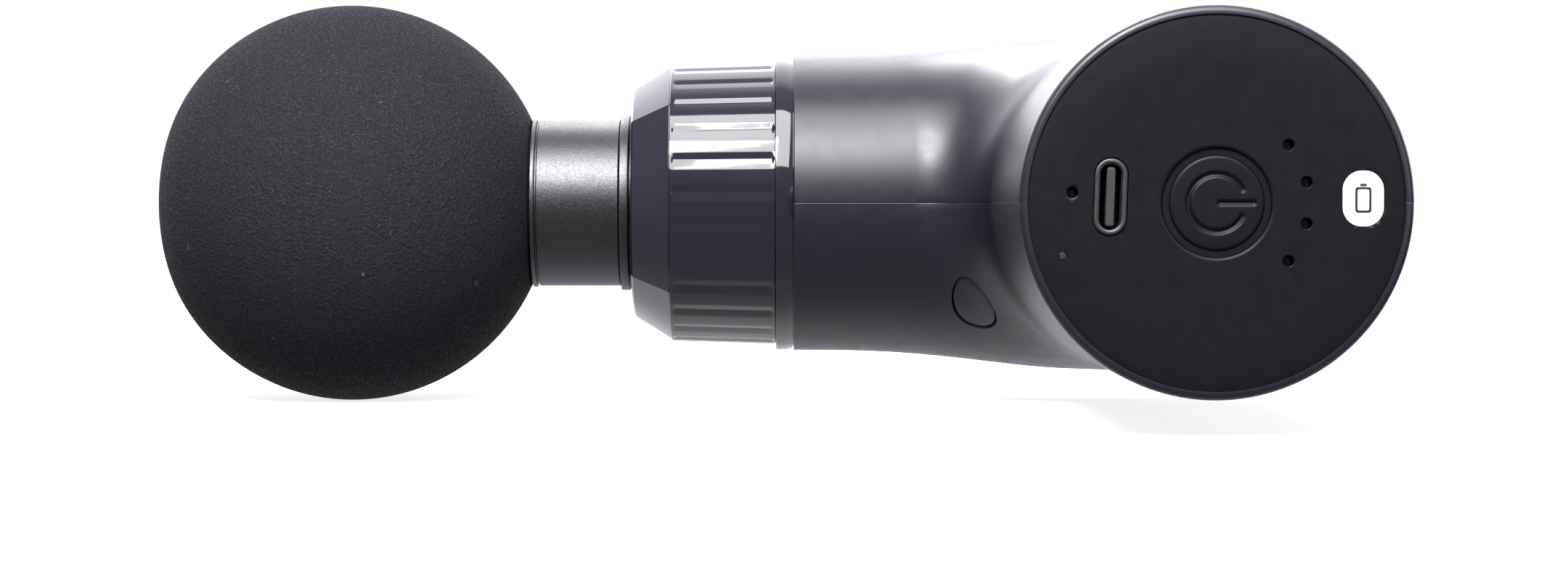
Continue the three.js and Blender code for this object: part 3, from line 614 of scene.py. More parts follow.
def foam_rubber():
    """Closed-cell foam: matte with a fine grain, glinting specks, and pale specks painted into the colour as
    glints.
    """
    shader = Shader("foam")
    grain = shader.noise(2.4, 3.0, 0.7)
    mottled = shader.mixed(grain, srgb(0x141317), srgb(0x2B2A30))
    # pale specks painted into the base colour as glints
    painted_glint_specks = shader.ranged(shader.noise(0.9, 2.0, 0.6, shader.stretched(1.0, 1.0, 0.45)), 0.74, 0.78, 0.0, 0.35)
    shader.drive("Base Color", shader.mixed(painted_glint_specks, mottled, srgb(0x75757B)))
    glints = shader.ranged(shader.noise(4.5, 1.0), 0.55, 0.75, 0.0, 1.0)
    shader.drive("Roughness", shader.ranged(glints, 0.0, 1.0, 0.85, 0.55))
    shader.drive("Specular IOR Level", shader.ranged(glints, 0.0, 1.0, 0.06, 0.4))
    shader.bump(shader.ranged(shader.cells(1.9, "SMOOTH_F1"), 0.0, 0.4, 1.0, 0.0), 0.08)
    shader.bump(grain, 0.3)
    return shader.material


def blasted_metal():
    """Bead-blasted grey metal that sparkles where the light strikes it."""
    shader = Shader("sleeve_metal", Metallic=0.9, Roughness=0.42)
    glints = shader.cells(3.2, "F1", "Color")
    shader.drive("Base Color", shader.mixed(shader.noise(2.5, 4.0, 0.8), srgb(0x3B3B3D), srgb(0x58585B)))
    shader.drive("Roughness", shader.ranged(shader.noise(3.0, 3.0), 0.3, 0.7, 0.3, 0.44))
    shader.bump(shader.ranged(glints, 0.0, 1.0, 0.0, 1.0), 0.014)
    shader.bump(shader.noise(4.0, 4.0, 0.7), 0.03)
    return shader.material


def machined_metal(name, code, roughness, metallic=1.0):
    """Turned or drawn metal with fine lay lines and slight stains."""
    colour = srgb(code)
    shader = Shader(name, Metallic=metallic, Roughness=roughness)
    lines = shader.noise(2.0, 3.0, 0.6, shader.stretched(6.0, 0.4, 0.4))
    dark = tuple(c * 0.8 for c in colour[:3]) + (1.0,)
    shader.drive("Base Color", shader.mixed(shader.noise(0.3), dark, colour))
    shader.drive("Roughness", shader.ranged(lines, 0.3, 0.7, roughness - 0.08, roughness + 0.1))
    shader.bump(lines, 0.004)
    return shader.material


def soft_rubber(name, code, roughness):
    """Matte rubber or sleeving with a fine grain."""
    colour = srgb(code)
    shader = Shader(name, Roughness=roughness)
    pale = tuple(min(1.0, c * 1.5) for c in colour[:3]) + (1.0,)
    shader.drive("Base Color", shader.mixed(shader.noise(1.2), colour, pale))
    shader.bump(shader.noise(5.0, 3.0), 0.012)
    return shader.material


def glowing_white_plate():
    """White plastic, a little glossier than the cap, with a painted glow that keeps it bright."""
    # the emission is a painted glow, not a lamp
    shader = Shader("white_plastic", Roughness=0.35, Emission_Color=WHITE, Emission_Strength=0.35)
    shader.drive("Base Color", shader.mixed(shader.noise(0.6), srgb(0xF4F4F6), srgb(0xFFFFFF)))
    shader.bump(shader.noise(6.0), 0.003)
    return shader.material


def circuit_board():
    """Green solder mask over copper tracks."""
    shader = Shader("circuit_board", Roughness=0.35)
    tracks = shader.ranged(shader.cells(0.5, "DISTANCE_TO_EDGE"), 0.05, 0.09, 1.0, 0.0)
    shader.drive("Base Color", shader.mixed(tracks, srgb(0x14492C), srgb(0x2B7A49)))
    shader.bump(tracks, 0.03)
    return shader.material


def wound_copper():
    """Enamelled wire, in turns."""
    shader = Shader("copper", Metallic=0.9, Roughness=0.3)
    turns = shader.cells(1.4)
    shader.drive("Base Color", shader.mixed(turns, srgb(0x7C3F1D), srgb(0xC8783F)))
    shader.bump(turns, 0.15)
    return shader.material


def smoked_lens():
    """Unlit smoked light pipe, almost black from outside."""
    shader = Shader("light_lens", Roughness=0.18)
    shader.drive("Base Color", shader.mixed(shader.noise(2.0), srgb(0x0C0C0E), srgb(0x19191C)))
    shader.bump(shader.noise(3.0), 0.004)
    return shader.material


def build_materials():
    """Every look by name: one for each material slot of the record, and a few of the pieces' own."""
    looks = {
        "gloss_trim": gloss_plastic(),
        "foam": foam_rubber(),
        "sleeve_metal": blasted_metal(),
        "white_plastic": glowing_white_plate(),
        "light_lens": smoked_lens(),
        "copper": wound_copper(),
        "circuit_board": circuit_board(),
    }
    for maker, rows in ((moulded_plastic, MOULDED), (machined_metal, MACHINED), (soft_rubber, RUBBERS)):
        for name, values in rows.items():
            looks[name] = maker(name, *values)
    return looks


LOOK = build_materials()


def dress_frame_nodes():
    """Every CAD node takes the material of its slot in the record."""
    for entry in frame["record"]["subparts"]:
        node = frame["nodes"][entry["node"]]
        for material_slot in node.material_slots:
            material_slot.material = LOOK[entry["material_slot"]]


# ---------------- casing

def edge_point(inner, travel):
    """A point of the casing's inner or outer edge line, in the plane z = 0."""
    corner = INNER_FILLET_R if inner else OUTER_FILLET_R
    side = -1 if inner else 1
    handle_x = side * HANDLE_R
    barrel_y = REACH - BARREL_R if inner else REACH + BARREL_BACK_R
    centre_x = handle_x - corner
    centre_y = barrel_y - corner
    straight = centre_x - CORNER_START
    arc = corner * math.pi / 2
    along = travel * (straight + arc + centre_y - CORNER_END)
    if along < straight:
        x = CORNER_START + along
        return Vector((x, REACH - BARREL_R if inner else back_edge(x)))
    if along > straight + arc:
        return Vector((handle_x, centre_y - (along - straight - arc)))
    turn = math.pi / 2 - (along - straight) / corner
    return Vector((centre_x + corner * math.cos(turn), centre_y + corner * math.sin(turn)))


def back_edge(x):
    """y of the barrel's back line, which rises evenly from its front to the corner."""
    rise = (x - BARREL_FRONT) / (HANDLE_R - OUTER_FILLET_R - BARREL_FRONT)
    return REACH + BARREL_R + (BARREL_BACK_R - BARREL_R) * rise


def half_thickness(x):
    """Half the casing's height in z: the barrel's at its front, swelling to the handle's."""
    t = min(max((x - BARREL_FRONT) / (FLARE_END - BARREL_FRONT), 0), 1)
    return BARREL_R + (HANDLE_R - BARREL_R) * t ** 3 * (4 - 3 * t)


def casing_stations():
    """(inner edge, outer edge, outer inset, wall) from the barrel's front to the handle's end."""
    places = [(BARREL_FRONT, FRONT_CHAMFER), (BARREL_FRONT + FRONT_CHAMFER, 0)]
    for k in range(1, BARREL_STEPS):
        places.append((BARREL_FRONT + (CORNER_START - BARREL_FRONT) * k / BARREL_STEPS, 0))
    stations = []
    for x, inset in places:
        stations.append((Vector((x, REACH - BARREL_R)), Vector((x, back_edge(x))), inset, WALL))
    for k in range(CORNER_STEPS + 1):
        travel = k / CORNER_STEPS
        stations.append((edge_point(True, travel), edge_point(False, travel), 0, WALL))
    seat = HANDLE_R - CAP_R - CAP_GAP
    ends = [(y, 0, WALL) for y in HANDLE_STATIONS]
    ends += [(SEAT_STEP[0], 0, WALL), (SEAT_STEP[1], 0, seat)]
    for k in range(RIM_STEPS + 1):
        turn = math.pi / 2 * k / RIM_STEPS
        inset = RIM_ROUND * (1 - math.cos(turn))
        ends.append((RIM_ROUND * (1 - math.sin(turn)), inset, seat))
    for y, inset, wall in ends:
        stations.append((Vector((-HANDLE_R, y)), Vector((HANDLE_R, y)), inset, wall))
    return stations


def half_loop(station, sign, points=72):
    """One closed loop round a half shell's wall at a station."""
    inner, outer, inset, wall = station
    middle = (inner + outer) / 2
    lateral = (outer - inner).normalized()
    a = (outer - inner).length / 2
    b = half_thickness(middle.x)
    loop = []

    def put(side, up):
        at = middle + lateral * side
        loop.append((at.x, at.y, sign * up))

    outside_a = a - inset
    outside_b = b - inset
    lip = LIP_ROUND * min(max(middle.y / LIP_FADE_Y, LIP_LEAST), 1)
    start = math.asin((SEAM_HALF + lip) / outside_b)
    turns = [math.pi / 2 * (1 - k / 3) for k in range(3)]
    for turn in turns:
        put(outside_a - lip * (1 - math.cos(turn)), SEAM_HALF + lip * (1 - math.sin(turn)))
    for k in range(points + 1):
        angle = start + (math.pi - 2 * start) * k / points
        put(outside_a * math.cos(angle), outside_b * math.sin(angle))
    for turn in reversed(turns):
        put(-outside_a + lip * (1 - math.cos(turn)), SEAM_HALF + lip * (1 - math.sin(turn)))
    inside_a = a - wall
    inside_b = b - wall
    start = math.asin(SEAM_HALF / inside_b)
    count = len(loop)
    for k in range(count):
        angle = math.pi - start - (math.pi - 2 * start) * k / (count - 1)
        put(inside_a * math.cos(angle), inside_b * math.sin(angle))
    return loop


def casing_half(name, sign):
    """The half shell on the +Z side (sign 1) or the -Z side (sign -1)."""
    return loft(name, [half_loop(station, sign) for station in casing_stations()])


def surface_height(x, y, inset):
    """How far from z = 0 the casing's outside is at a point, less an inset."""
    best = None
    for station in casing_stations():
        inner, outer = station[0], station[1]
        lateral = (outer - inner).normalized()
        offset = Vector((x, y)) - inner
        across = offset.dot(lateral)
        away = abs(offset.x * lateral.y - offset.y * lateral.x)
        if best is None or away < best[0]:
            best = (away, across, (outer - inner).length / 2, half_thickness(((inner + outer) / 2).x))
    away, across, a, b = best
    ratio = (across - a) / (a - inset)
    return (b - inset) * math.sqrt(max(0.0, 1 - ratio * ratio))


def screw_plug(k, x, y):
    """A round plug whose face follows the casing, with a softly rounded edge."""
    bm = bmesh.new()
    loops = []
    for share, drop in PLUG_EDGE:
        count = 1 if share == 0 else 48
        loop = []
        for angle in turns_of(count):
            px = x + share * PLUG_R * math.cos(angle)
            py = y + share * PLUG_R * math.sin(angle)
            loop.append(bm.verts.new((px, py, -surface_height(px, py, PLUG_SINK + drop))))
        loops.append(loop)
    inner = [bm.verts.new((v.co.x, v.co.y, PLUG_INNER_END)) for v in loops[-1]]
    for low, high in zip(loops, loops[1:] + [inner]):
        bridge(bm, low, high)
    bm.faces.new(inner)
    return from_bmesh(f"plug_face_{k}", bm, 50)


def build_casing():
    """Two half shells, the lower one with its screw holes and their plugs."""
    top = casing_half("casing_top_half", 1)
    bottom = casing_half("casing_bottom_half", -1)
    start, end = PLUG_HOLE_Z
    hole_profile = [(0, start), (PLUG_HOLE_R, start), (PLUG_HOLE_R, end), (0, end)]
    for k in (1, 2, 3):
        x, y = middle_of(f"screw_plug_{k}", "xy")
        cut_with(bottom, lathe(f"plug_hole_{k}", hole_profile, "Z", (x, y), 0.01, 64))
        finish_piece(screw_plug(k, x, y), "casing", "casing_plastic", f"screw_plug_{k}")
    finish_piece(top, "casing", "casing_plastic", "upper_shell")
    finish_piece(bottom, "casing", "casing_plastic", "lower_shell")


# ---------------- end cap

def build_lights():
    """The small round lights, each a lens set deep in its hole; returns their places."""
    nodes = [f"level_light_{k}" for k in (1, 2, 3, 4)] + ["charge_light"]
    front, back = LENS_DEPTH
    profile = [(0, front - LENS_CROWN), (LIGHT_R, front), (LIGHT_R, back), (0, back)]
    for node in nodes:
        lens = lathe(node + "_lens", profile, "Y", middle_of(node, "xz"), 0.1, 32)
        finish_piece(lens, "casing", "light_lens", node)
    return [middle_of(node, "xz") for node in nodes]


def hole_cutter(radius, x, z, flare):
    """A round hole through the cap whose mouth is countersunk by the flare."""
    end = CAP_T + OVERRUN
    profile = [(0, -OVERRUN), (radius + flare + OVERRUN, -OVERRUN), (radius, flare), (radius, end), (0, end)]
    return lathe("round_hole", profile, "Y", (x, z), 0.001, 40)


def witness_pin():
    """The end of a round pin, almost flush with the cap's face."""
    front, back = PIN_DEPTH
    profile = [(0, front), (PIN_R, front), (PIN_R, back), (0, back)]
    pin = lathe("cap_witness_pin", profile, "Y", PIN_PLACE, 0.08, 24)
    finish_piece(pin, "casing", "cap_plastic", look="symbol_ink")


def build_cap():
    """End cap: flat with a falling edge, its holes cut through it."""
    profile = [(BUTTON_HOLE_R, CAP_T), (BUTTON_HOLE_R, 0, MOUTH_ROUND), (CAP_DOME_R, 0)]
    for k in range(1, CAP_STEPS):
        t = k / CAP_STEPS
        profile.append((CAP_DOME_R + (CAP_R - CAP_DOME_R) * t, CAP_DROP * t * t))
    profile += [(CAP_R, CAP_DROP, CAP_EDGE), (CAP_R, CAP_T)]
    face = lathe("cap_face", profile, "Y", (0, 0), EDGE_ROUND, 192)
    for x, z in build_lights():
        cut_with(face, hole_cutter(LIGHT_R + HOLE_GAP, x, z, LIGHT_FLARE))
    cut_with(face, hole_cutter(PIN_R + HOLE_GAP, *PIN_PLACE, PIN_FLARE))
    port_x, port_z = middle_of("charge_socket_shell", "xz")
    port_size = (PORT_WIDTH + 2 * HOLE_GAP, PORT_HEIGHT + 2 * HOLE_GAP)
    port_hole = pill_loop(*port_size, PORT_WIDTH / 2, port_x, port_z, PORT_TILT)
    cut_with(face, slab("port_hole", [port_hole], -OVERRUN, CAP_T + OVERRUN, 0.01))
    badge_x, badge_z = middle_of("badge_plate", "xz")
    low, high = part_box("badge_plate")
    badge_size = ((high.x - low.x) / MM, (high.z - low.z) / MM)
    seat_size = [side + 2 * HOLE_GAP for side in badge_size]
    seat = pill_loop(*seat_size, BADGE_ROUND + HOLE_GAP, badge_x, badge_z)
    cut_with(face, slab("badge_seat", [seat], -OVERRUN, BADGE_T + BADGE_SEAT_GAP, 0.01))
    finish_piece(face, "casing", "cap_plastic", "end_cap")
    witness_pin()
    build_badge(badge_x, badge_z, *badge_size)
    build_port(port_x, port_z)


def build_badge(x, z, width, height):
    """A plain white plate with a battery pictogram."""
    face = pill_loop(width, height, BADGE_ROUND, x, z)
    plate = slab("badge_face", [face], 0.0, BADGE_T, BADGE_EDGE)
    finish_piece(plate, "casing", "white_plastic", "badge_plate")
    outside = pill_loop(BATTERY_WIDTH, BATTERY_HEIGHT, BATTERY_ROUND[0], x, z - BATTERY_DROP)
    inside_size = (BATTERY_WIDTH - 2 * BATTERY_LINE, BATTERY_HEIGHT - 2 * BATTERY_LINE)
    inside = pill_loop(*inside_size, BATTERY_ROUND[1], x, z - BATTERY_DROP)
    tip = pill_loop(*BATTERY_TIP, x, z + BATTERY_TIP_RISE)
    for name, loops in (("badge_battery", [outside, inside]), ("badge_battery_tip", [tip])):
        mark = slab(name, loops, *PRINT_DEPTH, PRINT_EDGE)
        finish_piece(mark, "casing", "cap_plastic", look="symbol_ink")


def build_port(x, z):
    """Charging port: a rolled metal rim, the tongue inside it, and a plate that closes its back."""

    def outline(inset, corner):
        return pill_loop(PORT_WIDTH - 2 * inset, PORT_HEIGHT - 2 * inset, corner, x, z, PORT_TILT)

    loops = [outline(inset, PORT_WIDTH / 2 - inset) for inset in (0, PORT_RIM)]
    rim = slab("port_rim", loops, *PORT_DEPTH, PORT_ROLL)
    finish_piece(rim, "casing", "steel", "charge_socket_shell", look="port_metal")
    tongue_loop = pill_loop(TONGUE_WIDTH, TONGUE_HEIGHT, TONGUE_ROUND, x, z, PORT_TILT)
    tongue = slab("port_tongue", [tongue_loop], *TONGUE_DEPTH)
    finish_piece(tongue, "casing", "black_rubber", "charge_socket_tongue", look="port_tongue")
    back_loop = outline(PORT_BACK_INSET, PORT_BACK_ROUND)
    finish_piece(slab("port_back", [back_loop], *PORT_BACK_DEPTH, 0.02), "casing", "black_rubber")


def symbol_distance(x, z):
    """Distance to the centre line of the power symbol: an open ring and a bar along +X."""
    gap = math.radians(SYMBOL_GAP)
    turn = math.atan2(z, x)
    if abs(turn) > gap:
        to_ring = abs(math.hypot(x, z) - SYMBOL_R)
    else:
        end_x = SYMBOL_R * math.cos(gap)
        end_z = math.copysign(SYMBOL_R * math.sin(gap), z)
        to_ring = math.hypot(x - end_x, z - end_z)
    nearest = min(max(x, SYMBOL_BAR[0]), SYMBOL_BAR[1])
    return min(to_ring, math.hypot(x - nearest, z))


def button_depth(x, z):
    """y of the button's face: a low dome with the power symbol sunk into it."""
    dome = BUTTON_DOME * (x * x + z * z) / BUTTON_R ** 2
    away = min(symbol_distance(x, z) / SYMBOL_HALF, 1)
    return dome + SYMBOL_DEPTH * (0.5 + 0.5 * math.cos(math.pi * away))


def build_button(segments=256, face_rings=60, edge_steps=6):
    """Power button: a domed face with a sunk symbol, a soft edge, a skirt and a stem."""
    bm = bmesh.new()
    turns = turns_of(segments)
    rings = [[bm.verts.new((0, button_depth(0, 0), 0))]]
    edge = BUTTON_R - MOUTH_ROUND
    for k in range(1, face_rings + 1):
        radius = edge * k / face_rings
        places = [(radius * math.cos(turn), radius * math.sin(turn)) for turn in turns]
        rings.append([bm.verts.new((x, button_depth(x, z), z)) for x, z in places])
    skirt_r = BUTTON_HOLE_R - HOLE_GAP
    rim = button_depth(edge, 0)
    foot = rim + BUTTON_GROOVE + BUTTON_FOOT
    side = []
    for k in range(1, edge_steps + 1):
        turn = math.pi / 2 * k / edge_steps
        side.append((edge + MOUTH_ROUND * math.sin(turn), rim + MOUTH_ROUND * (1 - math.cos(turn))))
    side += [(BUTTON_R + BUTTON_DRAFT, foot), (skirt_r, foot), (skirt_r, SKIRT_END)]
    side += [(STEM_R, SKIRT_END), (STEM_R, STEM_END)]
    for radius, depth in side:
        rings.append([bm.verts.new((radius * math.cos(t), depth, radius * math.sin(t))) for t in turns])
    rings.append([bm.verts.new((0, STEM_END, 0))])
    for low, high in zip(rings, rings[1:]):
        bridge(bm, low, high)
    finish_piece(from_bmesh("button_face", bm, 60), "button", "cap_plastic", "power_button")


# ---------------- barrel trims

def nose_radius(angle, radius):
    """Distance from the axis to the nose's flat faces, slightly crowned."""
    edges = sorted(math.radians(e) % (2 * math.pi) for e in NOSE_EDGES)
    following = edges[1:] + [edges[0] + 2 * math.pi]
    here = angle if angle >= edges[0] else angle + 2 * math.pi
    for low, high in zip(edges, following):
        if low <= here <= high:
            half = (high - low) / 2
            flat = math.cos(half) / math.cos(here - (low + high) / 2)
            return radius * (flat * (1 - NOSE_BULGE) + NOSE_BULGE)
    return radius


def trim_band(name, stations, count, smooth_angle, radius_at):
    """A ring about the barrel's axis through stations; radius_at gives each point's radius."""
    bm = bmesh.new()
    rings = []
    for station in stations:
        ring = []
        for k, angle in enumerate(turns_of(count)):
            r = radius_at(station, k)
            ring.append(bm.verts.new((station[0], REACH - r * math.cos(angle), r * math.sin(angle))))
        rings.append(ring)
    for low, high in zip(rings, rings[1:] + rings[:1]):
        bridge(bm, low, high)
    return from_bmesh(name, bm, smooth_angle)


def build_nose():
    """Tapered nose with flat faces and round bores."""
    front, back = span("nose_cone", "x")
    front_bore, rear_bore = NOSE_BORE_R
    flare, flare_r = NOSE_BORE_FLARE
    stations = [(front + flare, front_bore, False), (front, front_bore + flare_r, False)]
    stations += [(front + along, NOSE_R[0] + out, True) for along, out in NOSE_ROUND]
    start, start_r = stations[-1][:2]
    end = back + NOSE_LAP
    for k in range(1, NOSE_STEPS + 1):
        t = k / NOSE_STEPS
        stations.append((start + (end - NOSE_LAND - start) * t, start_r + (NOSE_R[1] - start_r) * t, True))
    stations += [(end, NOSE_R[1], True), (end, rear_bore, False)]
    stations += [(back - NOSE_REAR_BORE, rear_bore, False), (back - NOSE_REAR_BORE, front_bore, False)]
    angles = turns_of(TRIM_POINTS)

    def radius_at(station, k):
        radius, faceted = station[1:]
        return nose_radius(angles[k], radius) if faceted else radius

    nose = trim_band("nose_facets", stations, TRIM_POINTS, 18, radius_at)
    finish_piece(nose, "casing", "gloss_trim", "nose_cone")


def flute_drop(angle):
    """How far the ring's surface falls at an angle: round lands, and grooves steeper above."""
    pitch = 360 / FLUTES
    away = (math.degrees(angle) - FLUTE_START + pitch / 2) % pitch - pitch / 2
    reach = FLUTE_ABOVE if away > 0 else FLUTE_BELOW
    return FLUTE_DEPTH * max(0.0, 1 - abs(away) / reach)


def build_fluted_ring():
    """Grip ring, slightly wider at the back, with flutes that run out near both edges."""
    front, back = span("fluted_ring", "x")
    length = back - front
    stations = [(front, RING_BORE_R, 0), (front, RING_R[0] - RING_EDGE, 0)]
    distances = list(RING_FRONT_STATIONS) + [length - gap for gap in RING_BACK_STATIONS]
    for distance in distances:
        radius = RING_R[0] + (RING_R[1] - RING_R[0]) * distance / length
        run_in = min(max((distance - FLUTE_FRONT[0]) / FLUTE_FRONT[1], 0), 1)
        run_out = min(max((length - FLUTE_BACK[0] - distance) / FLUTE_BACK[1], 0), 1)
        stations.append((front + distance, radius, math.sin(math.pi / 2 * min(run_in, run_out))))
    stations += [(back, RING_R[1] - RING_EDGE, 0), (back, RING_BORE_R, 0)]
    count = FLUTES * FLUTE_POINTS
    drops = [flute_drop(angle) for angle in turns_of(count)]

    def radius_at(station, k):
        return station[1] - station[2] * drops[k]

    ring = trim_band("fluted_grip", stations, count, 32, radius_at)
    finish_piece(ring, "casing", "gloss_trim", "fluted_ring")


def build_flange():
    """Smooth crowned band from the ring to the casing, with a narrow joint line behind it."""
    front = span("fluted_ring", "x")[1] + FLANGE_GAP[0]
    back = BARREL_FRONT - JOINT_LINE
    end = BARREL_FRONT - FLANGE_GAP[1]
    profile = [(RING_BORE_R, front)]
    for k in range(FLANGE_STEPS + 1):
        t = k / FLANGE_STEPS
        profile.append((FLANGE_R - FLANGE_CROWN * (t - FLANGE_PEAK) ** 2, front + (back - front) * t, 0.001))
    profile += [(FLANGE_R - JOINT_DEPTH, back), (FLANGE_R - JOINT_DEPTH, end), (RING_BORE_R, end)]
    flange = lathe("flange_band", profile, "X", (REACH, 0), 0.02, 192, steps=1)
    finish_piece(flange, "casing", "gloss_trim", "trim_flange")


# ---------------- massage head and piston

def build_ball():
    """Foam ball, a little flattened at the front, with a flat mouth round the sleeve."""
    last = math.acos((SLEEVE_FRONT - BALL_X) / BALL_R)
    face = BALL_R * math.sin(last)
    profile = [(0, BALL_X - BALL_R * (1 - BALL_FLAT))]
    for k in range(1, BALL_STEPS):
        angle = math.pi - (math.pi - last) * k / BALL_STEPS
        flat = BALL_FLAT * max(0, -math.cos(angle)) ** BALL_FLAT_POWER
        profile.append((BALL_R * math.sin(angle), BALL_X + BALL_R * math.cos(angle) * (1 - flat)))
    profile += [(face + MOUTH_LIP[0], SLEEVE_FRONT - MOUTH_LIP[1]), (face - MOUTH_FLAT, SLEEVE_FRONT)]
    profile += [(BALL_BORE_R, SLEEVE_FRONT), (BALL_BORE_R, BALL_BORE_X), (0, BALL_BORE_X)]
    ball = lathe("ball_foam", profile, "X", (REACH, 0), 0.01, 320)
    finish_piece(ball, "head", "foam", "foam_ball")


def build_sleeve():
    """Hard core of the head: lip at the ball, visible sleeve, and the stem with its two seals."""
    front = SLEEVE_FRONT + SLEEVE_GAP[0]
    back = span("piston", "x")[0] - SLEEVE_GAP[1]
    lip_r = SLEEVE_R + SLEEVE_LIP[0]
    depth, start, end, shoulder = SLEEVE_GROOVE
    profile = [(0, CORE_X), (CORE_R, CORE_X), (CORE_R, front), (lip_r, front), (lip_r, front + SLEEVE_LIP[1]),
               (SLEEVE_R - depth, front + start), (SLEEVE_R - depth, front + end),
               (SLEEVE_R, front + shoulder), (SLEEVE_R, back), (SHANK_R, back)]
    for node in ("head_o_ring_1", "head_o_ring_2"):
        x = middle_of(node, "x")[0]
        for radius, side in ((SHANK_R, -1), (SEAL_GROOVE_R, -1), (SEAL_GROOVE_R, 1), (SHANK_R, 1)):
            profile.append((radius, x + side * SEAL_GROOVE_HALF))
        finish_piece(torus(node + "_seal", x, SEAL_R, SEAL_TUBE_R), "head", "black_rubber", node)
    core = lathe("sleeve_and_stem", profile + list(SHANK_TIP), "X", (REACH, 0), 0.1, 160)
    finish_piece(core, "head", "sleeve_metal", "head_core")


def torus(name, x, radius, tube):
    """A ring of round section about the barrel's axis."""
    profile = [(radius + tube * math.cos(a), x + tube * math.sin(a)) for a in turns_of(20)]
    return lathe(name, profile, "X", (REACH, 0), 0.01, 96)


def build_piston():
    """Hollow piston with its front collar, and the fork for the wrist pin."""
    front, back = span("piston", "x")
    finish_piece(piston_tube(front), "piston", "aluminium", "piston", look="sleeve_metal")
    for sign, side in ((-1, "near"), (1, "far")):
        middle = REACH + sign * CHEEK_OFFSET
        ys = (middle - CHEEK_HALF_T, middle + CHEEK_HALF_T)
        zs = (-CHEEK_HALF_WIDTH, CHEEK_HALF_WIDTH)
        cheek = rounded_block(f"fork_cheek_{side}", (CHEEK_FRONT, back), ys, zs, CHEEK_ROUND)
        finish_piece(cheek, "piston", "aluminium")


def piston_tube(front):
    """The turned part of the piston, a blind tube open at the front."""
    collar_end = front + COLLAR_T
    profile = [(0, TUBE_END), (TUBE_R, TUBE_END), (TUBE_R, collar_end), (COLLAR_R, collar_end),
               (COLLAR_R, front), (TUBE_BORE_R, front), (TUBE_BORE_R, TUBE_BORE_END), (0, TUBE_BORE_END)]
    return lathe("piston_tube", profile, "X", (REACH, 0), 0.15, 160)


def rounded_block(name, xs, ys, zs, round_r):
    """A block with bevelled edges."""
    bm = bmesh.new()
    bmesh.ops.create_cube(bm, size=1.0)
    for vert in bm.verts:
        vert.co.x = xs[vert.co.x > 0]
        vert.co.y = ys[vert.co.y > 0]
        vert.co.z = zs[vert.co.z > 0]
    bmesh.ops.bevel(bm, geom=list(bm.edges), offset=round_r, segments=3, affect="EDGES")
    return from_bmesh(name, bm)


# ---------------- floor, light and camera

def build_floor():
    """A wide white table top; reflections and bounced light don't see it."""
    bm = bmesh.new()
    bmesh.ops.create_grid(bm, x_segments=2, y_segments=2, size=FLOOR_HALF)
    floor = from_bmesh("floor", bm)
    floor.location = (0, 0, CAD_BOX[0].z)
    shader = Shader("floor_white", Roughness=0.9, Specular_IOR_Level=0.0,
                    Emission_Color=WHITE, Emission_Strength=0.8)
    shader.drive("Base Color", shader.mixed(shader.noise(0.01), (0.8, 0.8, 0.8, 1), (0.82, 0.82, 0.82, 1)))
    floor.data.materials.append(shader.material)
    floor.visible_glossy = False
    floor.visible_diffuse = False
    floor.visible_transmission = False


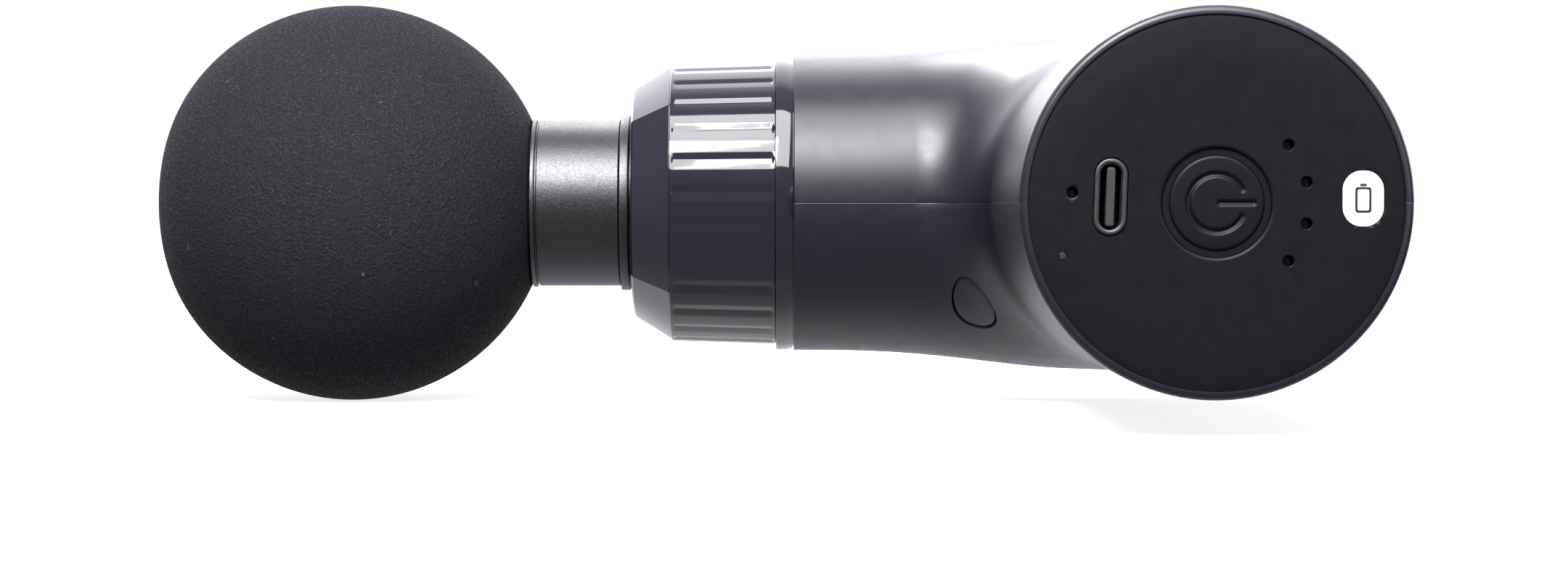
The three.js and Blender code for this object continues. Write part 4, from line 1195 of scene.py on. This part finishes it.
def build_world():
    """The camera sees white; reflections see a studio; soft grey light fills the shadows."""
    world = bpy.data.worlds.new("studio")
    bpy.context.scene.world = world
    world.use_nodes = True
    nodes = world.node_tree.nodes
    links = world.node_tree.links
    nodes.clear()

    def math_node(operation, first, second):
        node = nodes.new("ShaderNodeMath")
        node.operation = operation
        for socket, value in zip(node.inputs, (first, second)):
            if isinstance(value, (int, float)):
                socket.default_value = value
            else:
                links.new(value, socket)
        return node.outputs[0]

    def background(colour):
        node = nodes.new("ShaderNodeBackground")
        if isinstance(colour, tuple):
            node.inputs["Color"].default_value = colour
        else:
            links.new(colour, node.inputs["Color"])
        return node.outputs[0]

    def either(flag, low, high):
        node = nodes.new("ShaderNodeMixShader")
        links.new(flag, node.inputs[0])
        links.new(low, node.inputs[1])
        links.new(high, node.inputs[2])
        return node.outputs[0]

    place = nodes.new("ShaderNodeTexCoord")
    split = nodes.new("ShaderNodeSeparateXYZ")
    links.new(place.outputs["Generated"], split.inputs[0])
    front = math_node("MULTIPLY", split.outputs["Y"], -1)
    angle = math_node("ARCTAN2", split.outputs["Z"], front)
    turn = math_node("ADD", math_node("DIVIDE", angle, 2 * math.pi), 0.5)
    ramp = nodes.new("ShaderNodeValToRGB")
    links.new(turn, ramp.inputs["Fac"])
    elements = ramp.color_ramp.elements
    while len(elements) > 1:
        elements.remove(elements[-1])
    for k, (degrees, value) in enumerate(STUDIO):
        position = (degrees + 180) / 360
        element = elements[0] if k == 0 else elements.new(position)
        element.position = position
        level = value / STUDIO_GAIN
        element.color = (level, level, level, 1)
    sideways = math_node("ABSOLUTE", split.outputs["X"], 0)
    around = nodes.new("ShaderNodeMapRange")
    around.interpolation_type = "SMOOTHSTEP"
    around.inputs["From Min"].default_value = STUDIO_SIDES_FROM[0]
    around.inputs["From Max"].default_value = STUDIO_SIDES_FROM[1]
    links.new(sideways, around.inputs["Value"])
    level = math_node("MULTIPLY", ramp.outputs["Color"], STUDIO_GAIN)
    rise = math_node("MAXIMUM", math_node("MULTIPLY", split.outputs["Z"], STUDIO_SIDES_RISE), 0)
    sides = math_node("ADD", rise, STUDIO_SIDES)
    along = math_node("MULTIPLY", math_node("SUBTRACT", level, sides), around.outputs["Result"])
    level = math_node("ADD", sides, along)
    tinted = nodes.new("ShaderNodeVectorMath")
    tinted.operation = "SCALE"
    tinted.inputs[0].default_value = STUDIO_TINT
    links.new(level, tinted.inputs["Scale"])
    path = nodes.new("ShaderNodeLightPath")
    unseen = either(path.outputs["Is Glossy Ray"], background(FILL), background(tinted.outputs[0]))
    shown = either(path.outputs["Is Camera Ray"], unseen, background(WHITE))
    output = nodes.new("ShaderNodeOutputWorld")
    links.new(shown, output.inputs["Surface"])


def direction(azimuth, elevation):
    """Unit vector: azimuth 0 is the camera's side, growing towards +X."""
    turn = math.radians(azimuth)
    lift = math.radians(elevation)
    return Vector((math.sin(turn) * math.cos(lift), -math.cos(turn) * math.cos(lift), math.sin(lift)))


def softbox(name, aim, azimuth, elevation, distance, width, height, power, spread):
    """A rectangular light that points at its aim and that the camera doesn't see."""
    data = bpy.data.lights.new(name, "AREA")
    data.shape = "RECTANGLE"
    data.size = width
    data.size_y = height
    data.energy = power
    data.spread = math.radians(spread)
    lamp = new_object(name, data)
    lamp.location = Vector(aim) + distance * direction(azimuth, elevation)
    lamp.rotation_euler = (Vector(aim) - lamp.location).to_track_quat("-Z", "Y").to_euler()
    lamp.visible_camera = False


def build_camera():
    """Camera in front of the end cap, looking along the handle and slightly down."""
    data = bpy.data.cameras.new("camera")
    data.sensor_width = CAMERA_SENSOR
    data.lens = CAMERA_LENS
    camera = new_object("camera", data)
    camera.location = CAMERA_PLACE
    camera.rotation_euler = (math.radians(90 - CAMERA_DIP), 0, 0)
    bpy.context.scene.camera = camera
    bpy.context.scene.view_settings.view_transform = "Standard"


# ---------------- assembly

dress_frame_nodes()
build_casing()
build_cap()
build_button()
build_nose()
build_fluted_ring()
build_flange()
build_ball()
build_sleeve()
build_piston()
build_floor()
build_world()
for softbox_name, values in SOFTBOXES.items():
    softbox(softbox_name, *values)
build_camera()
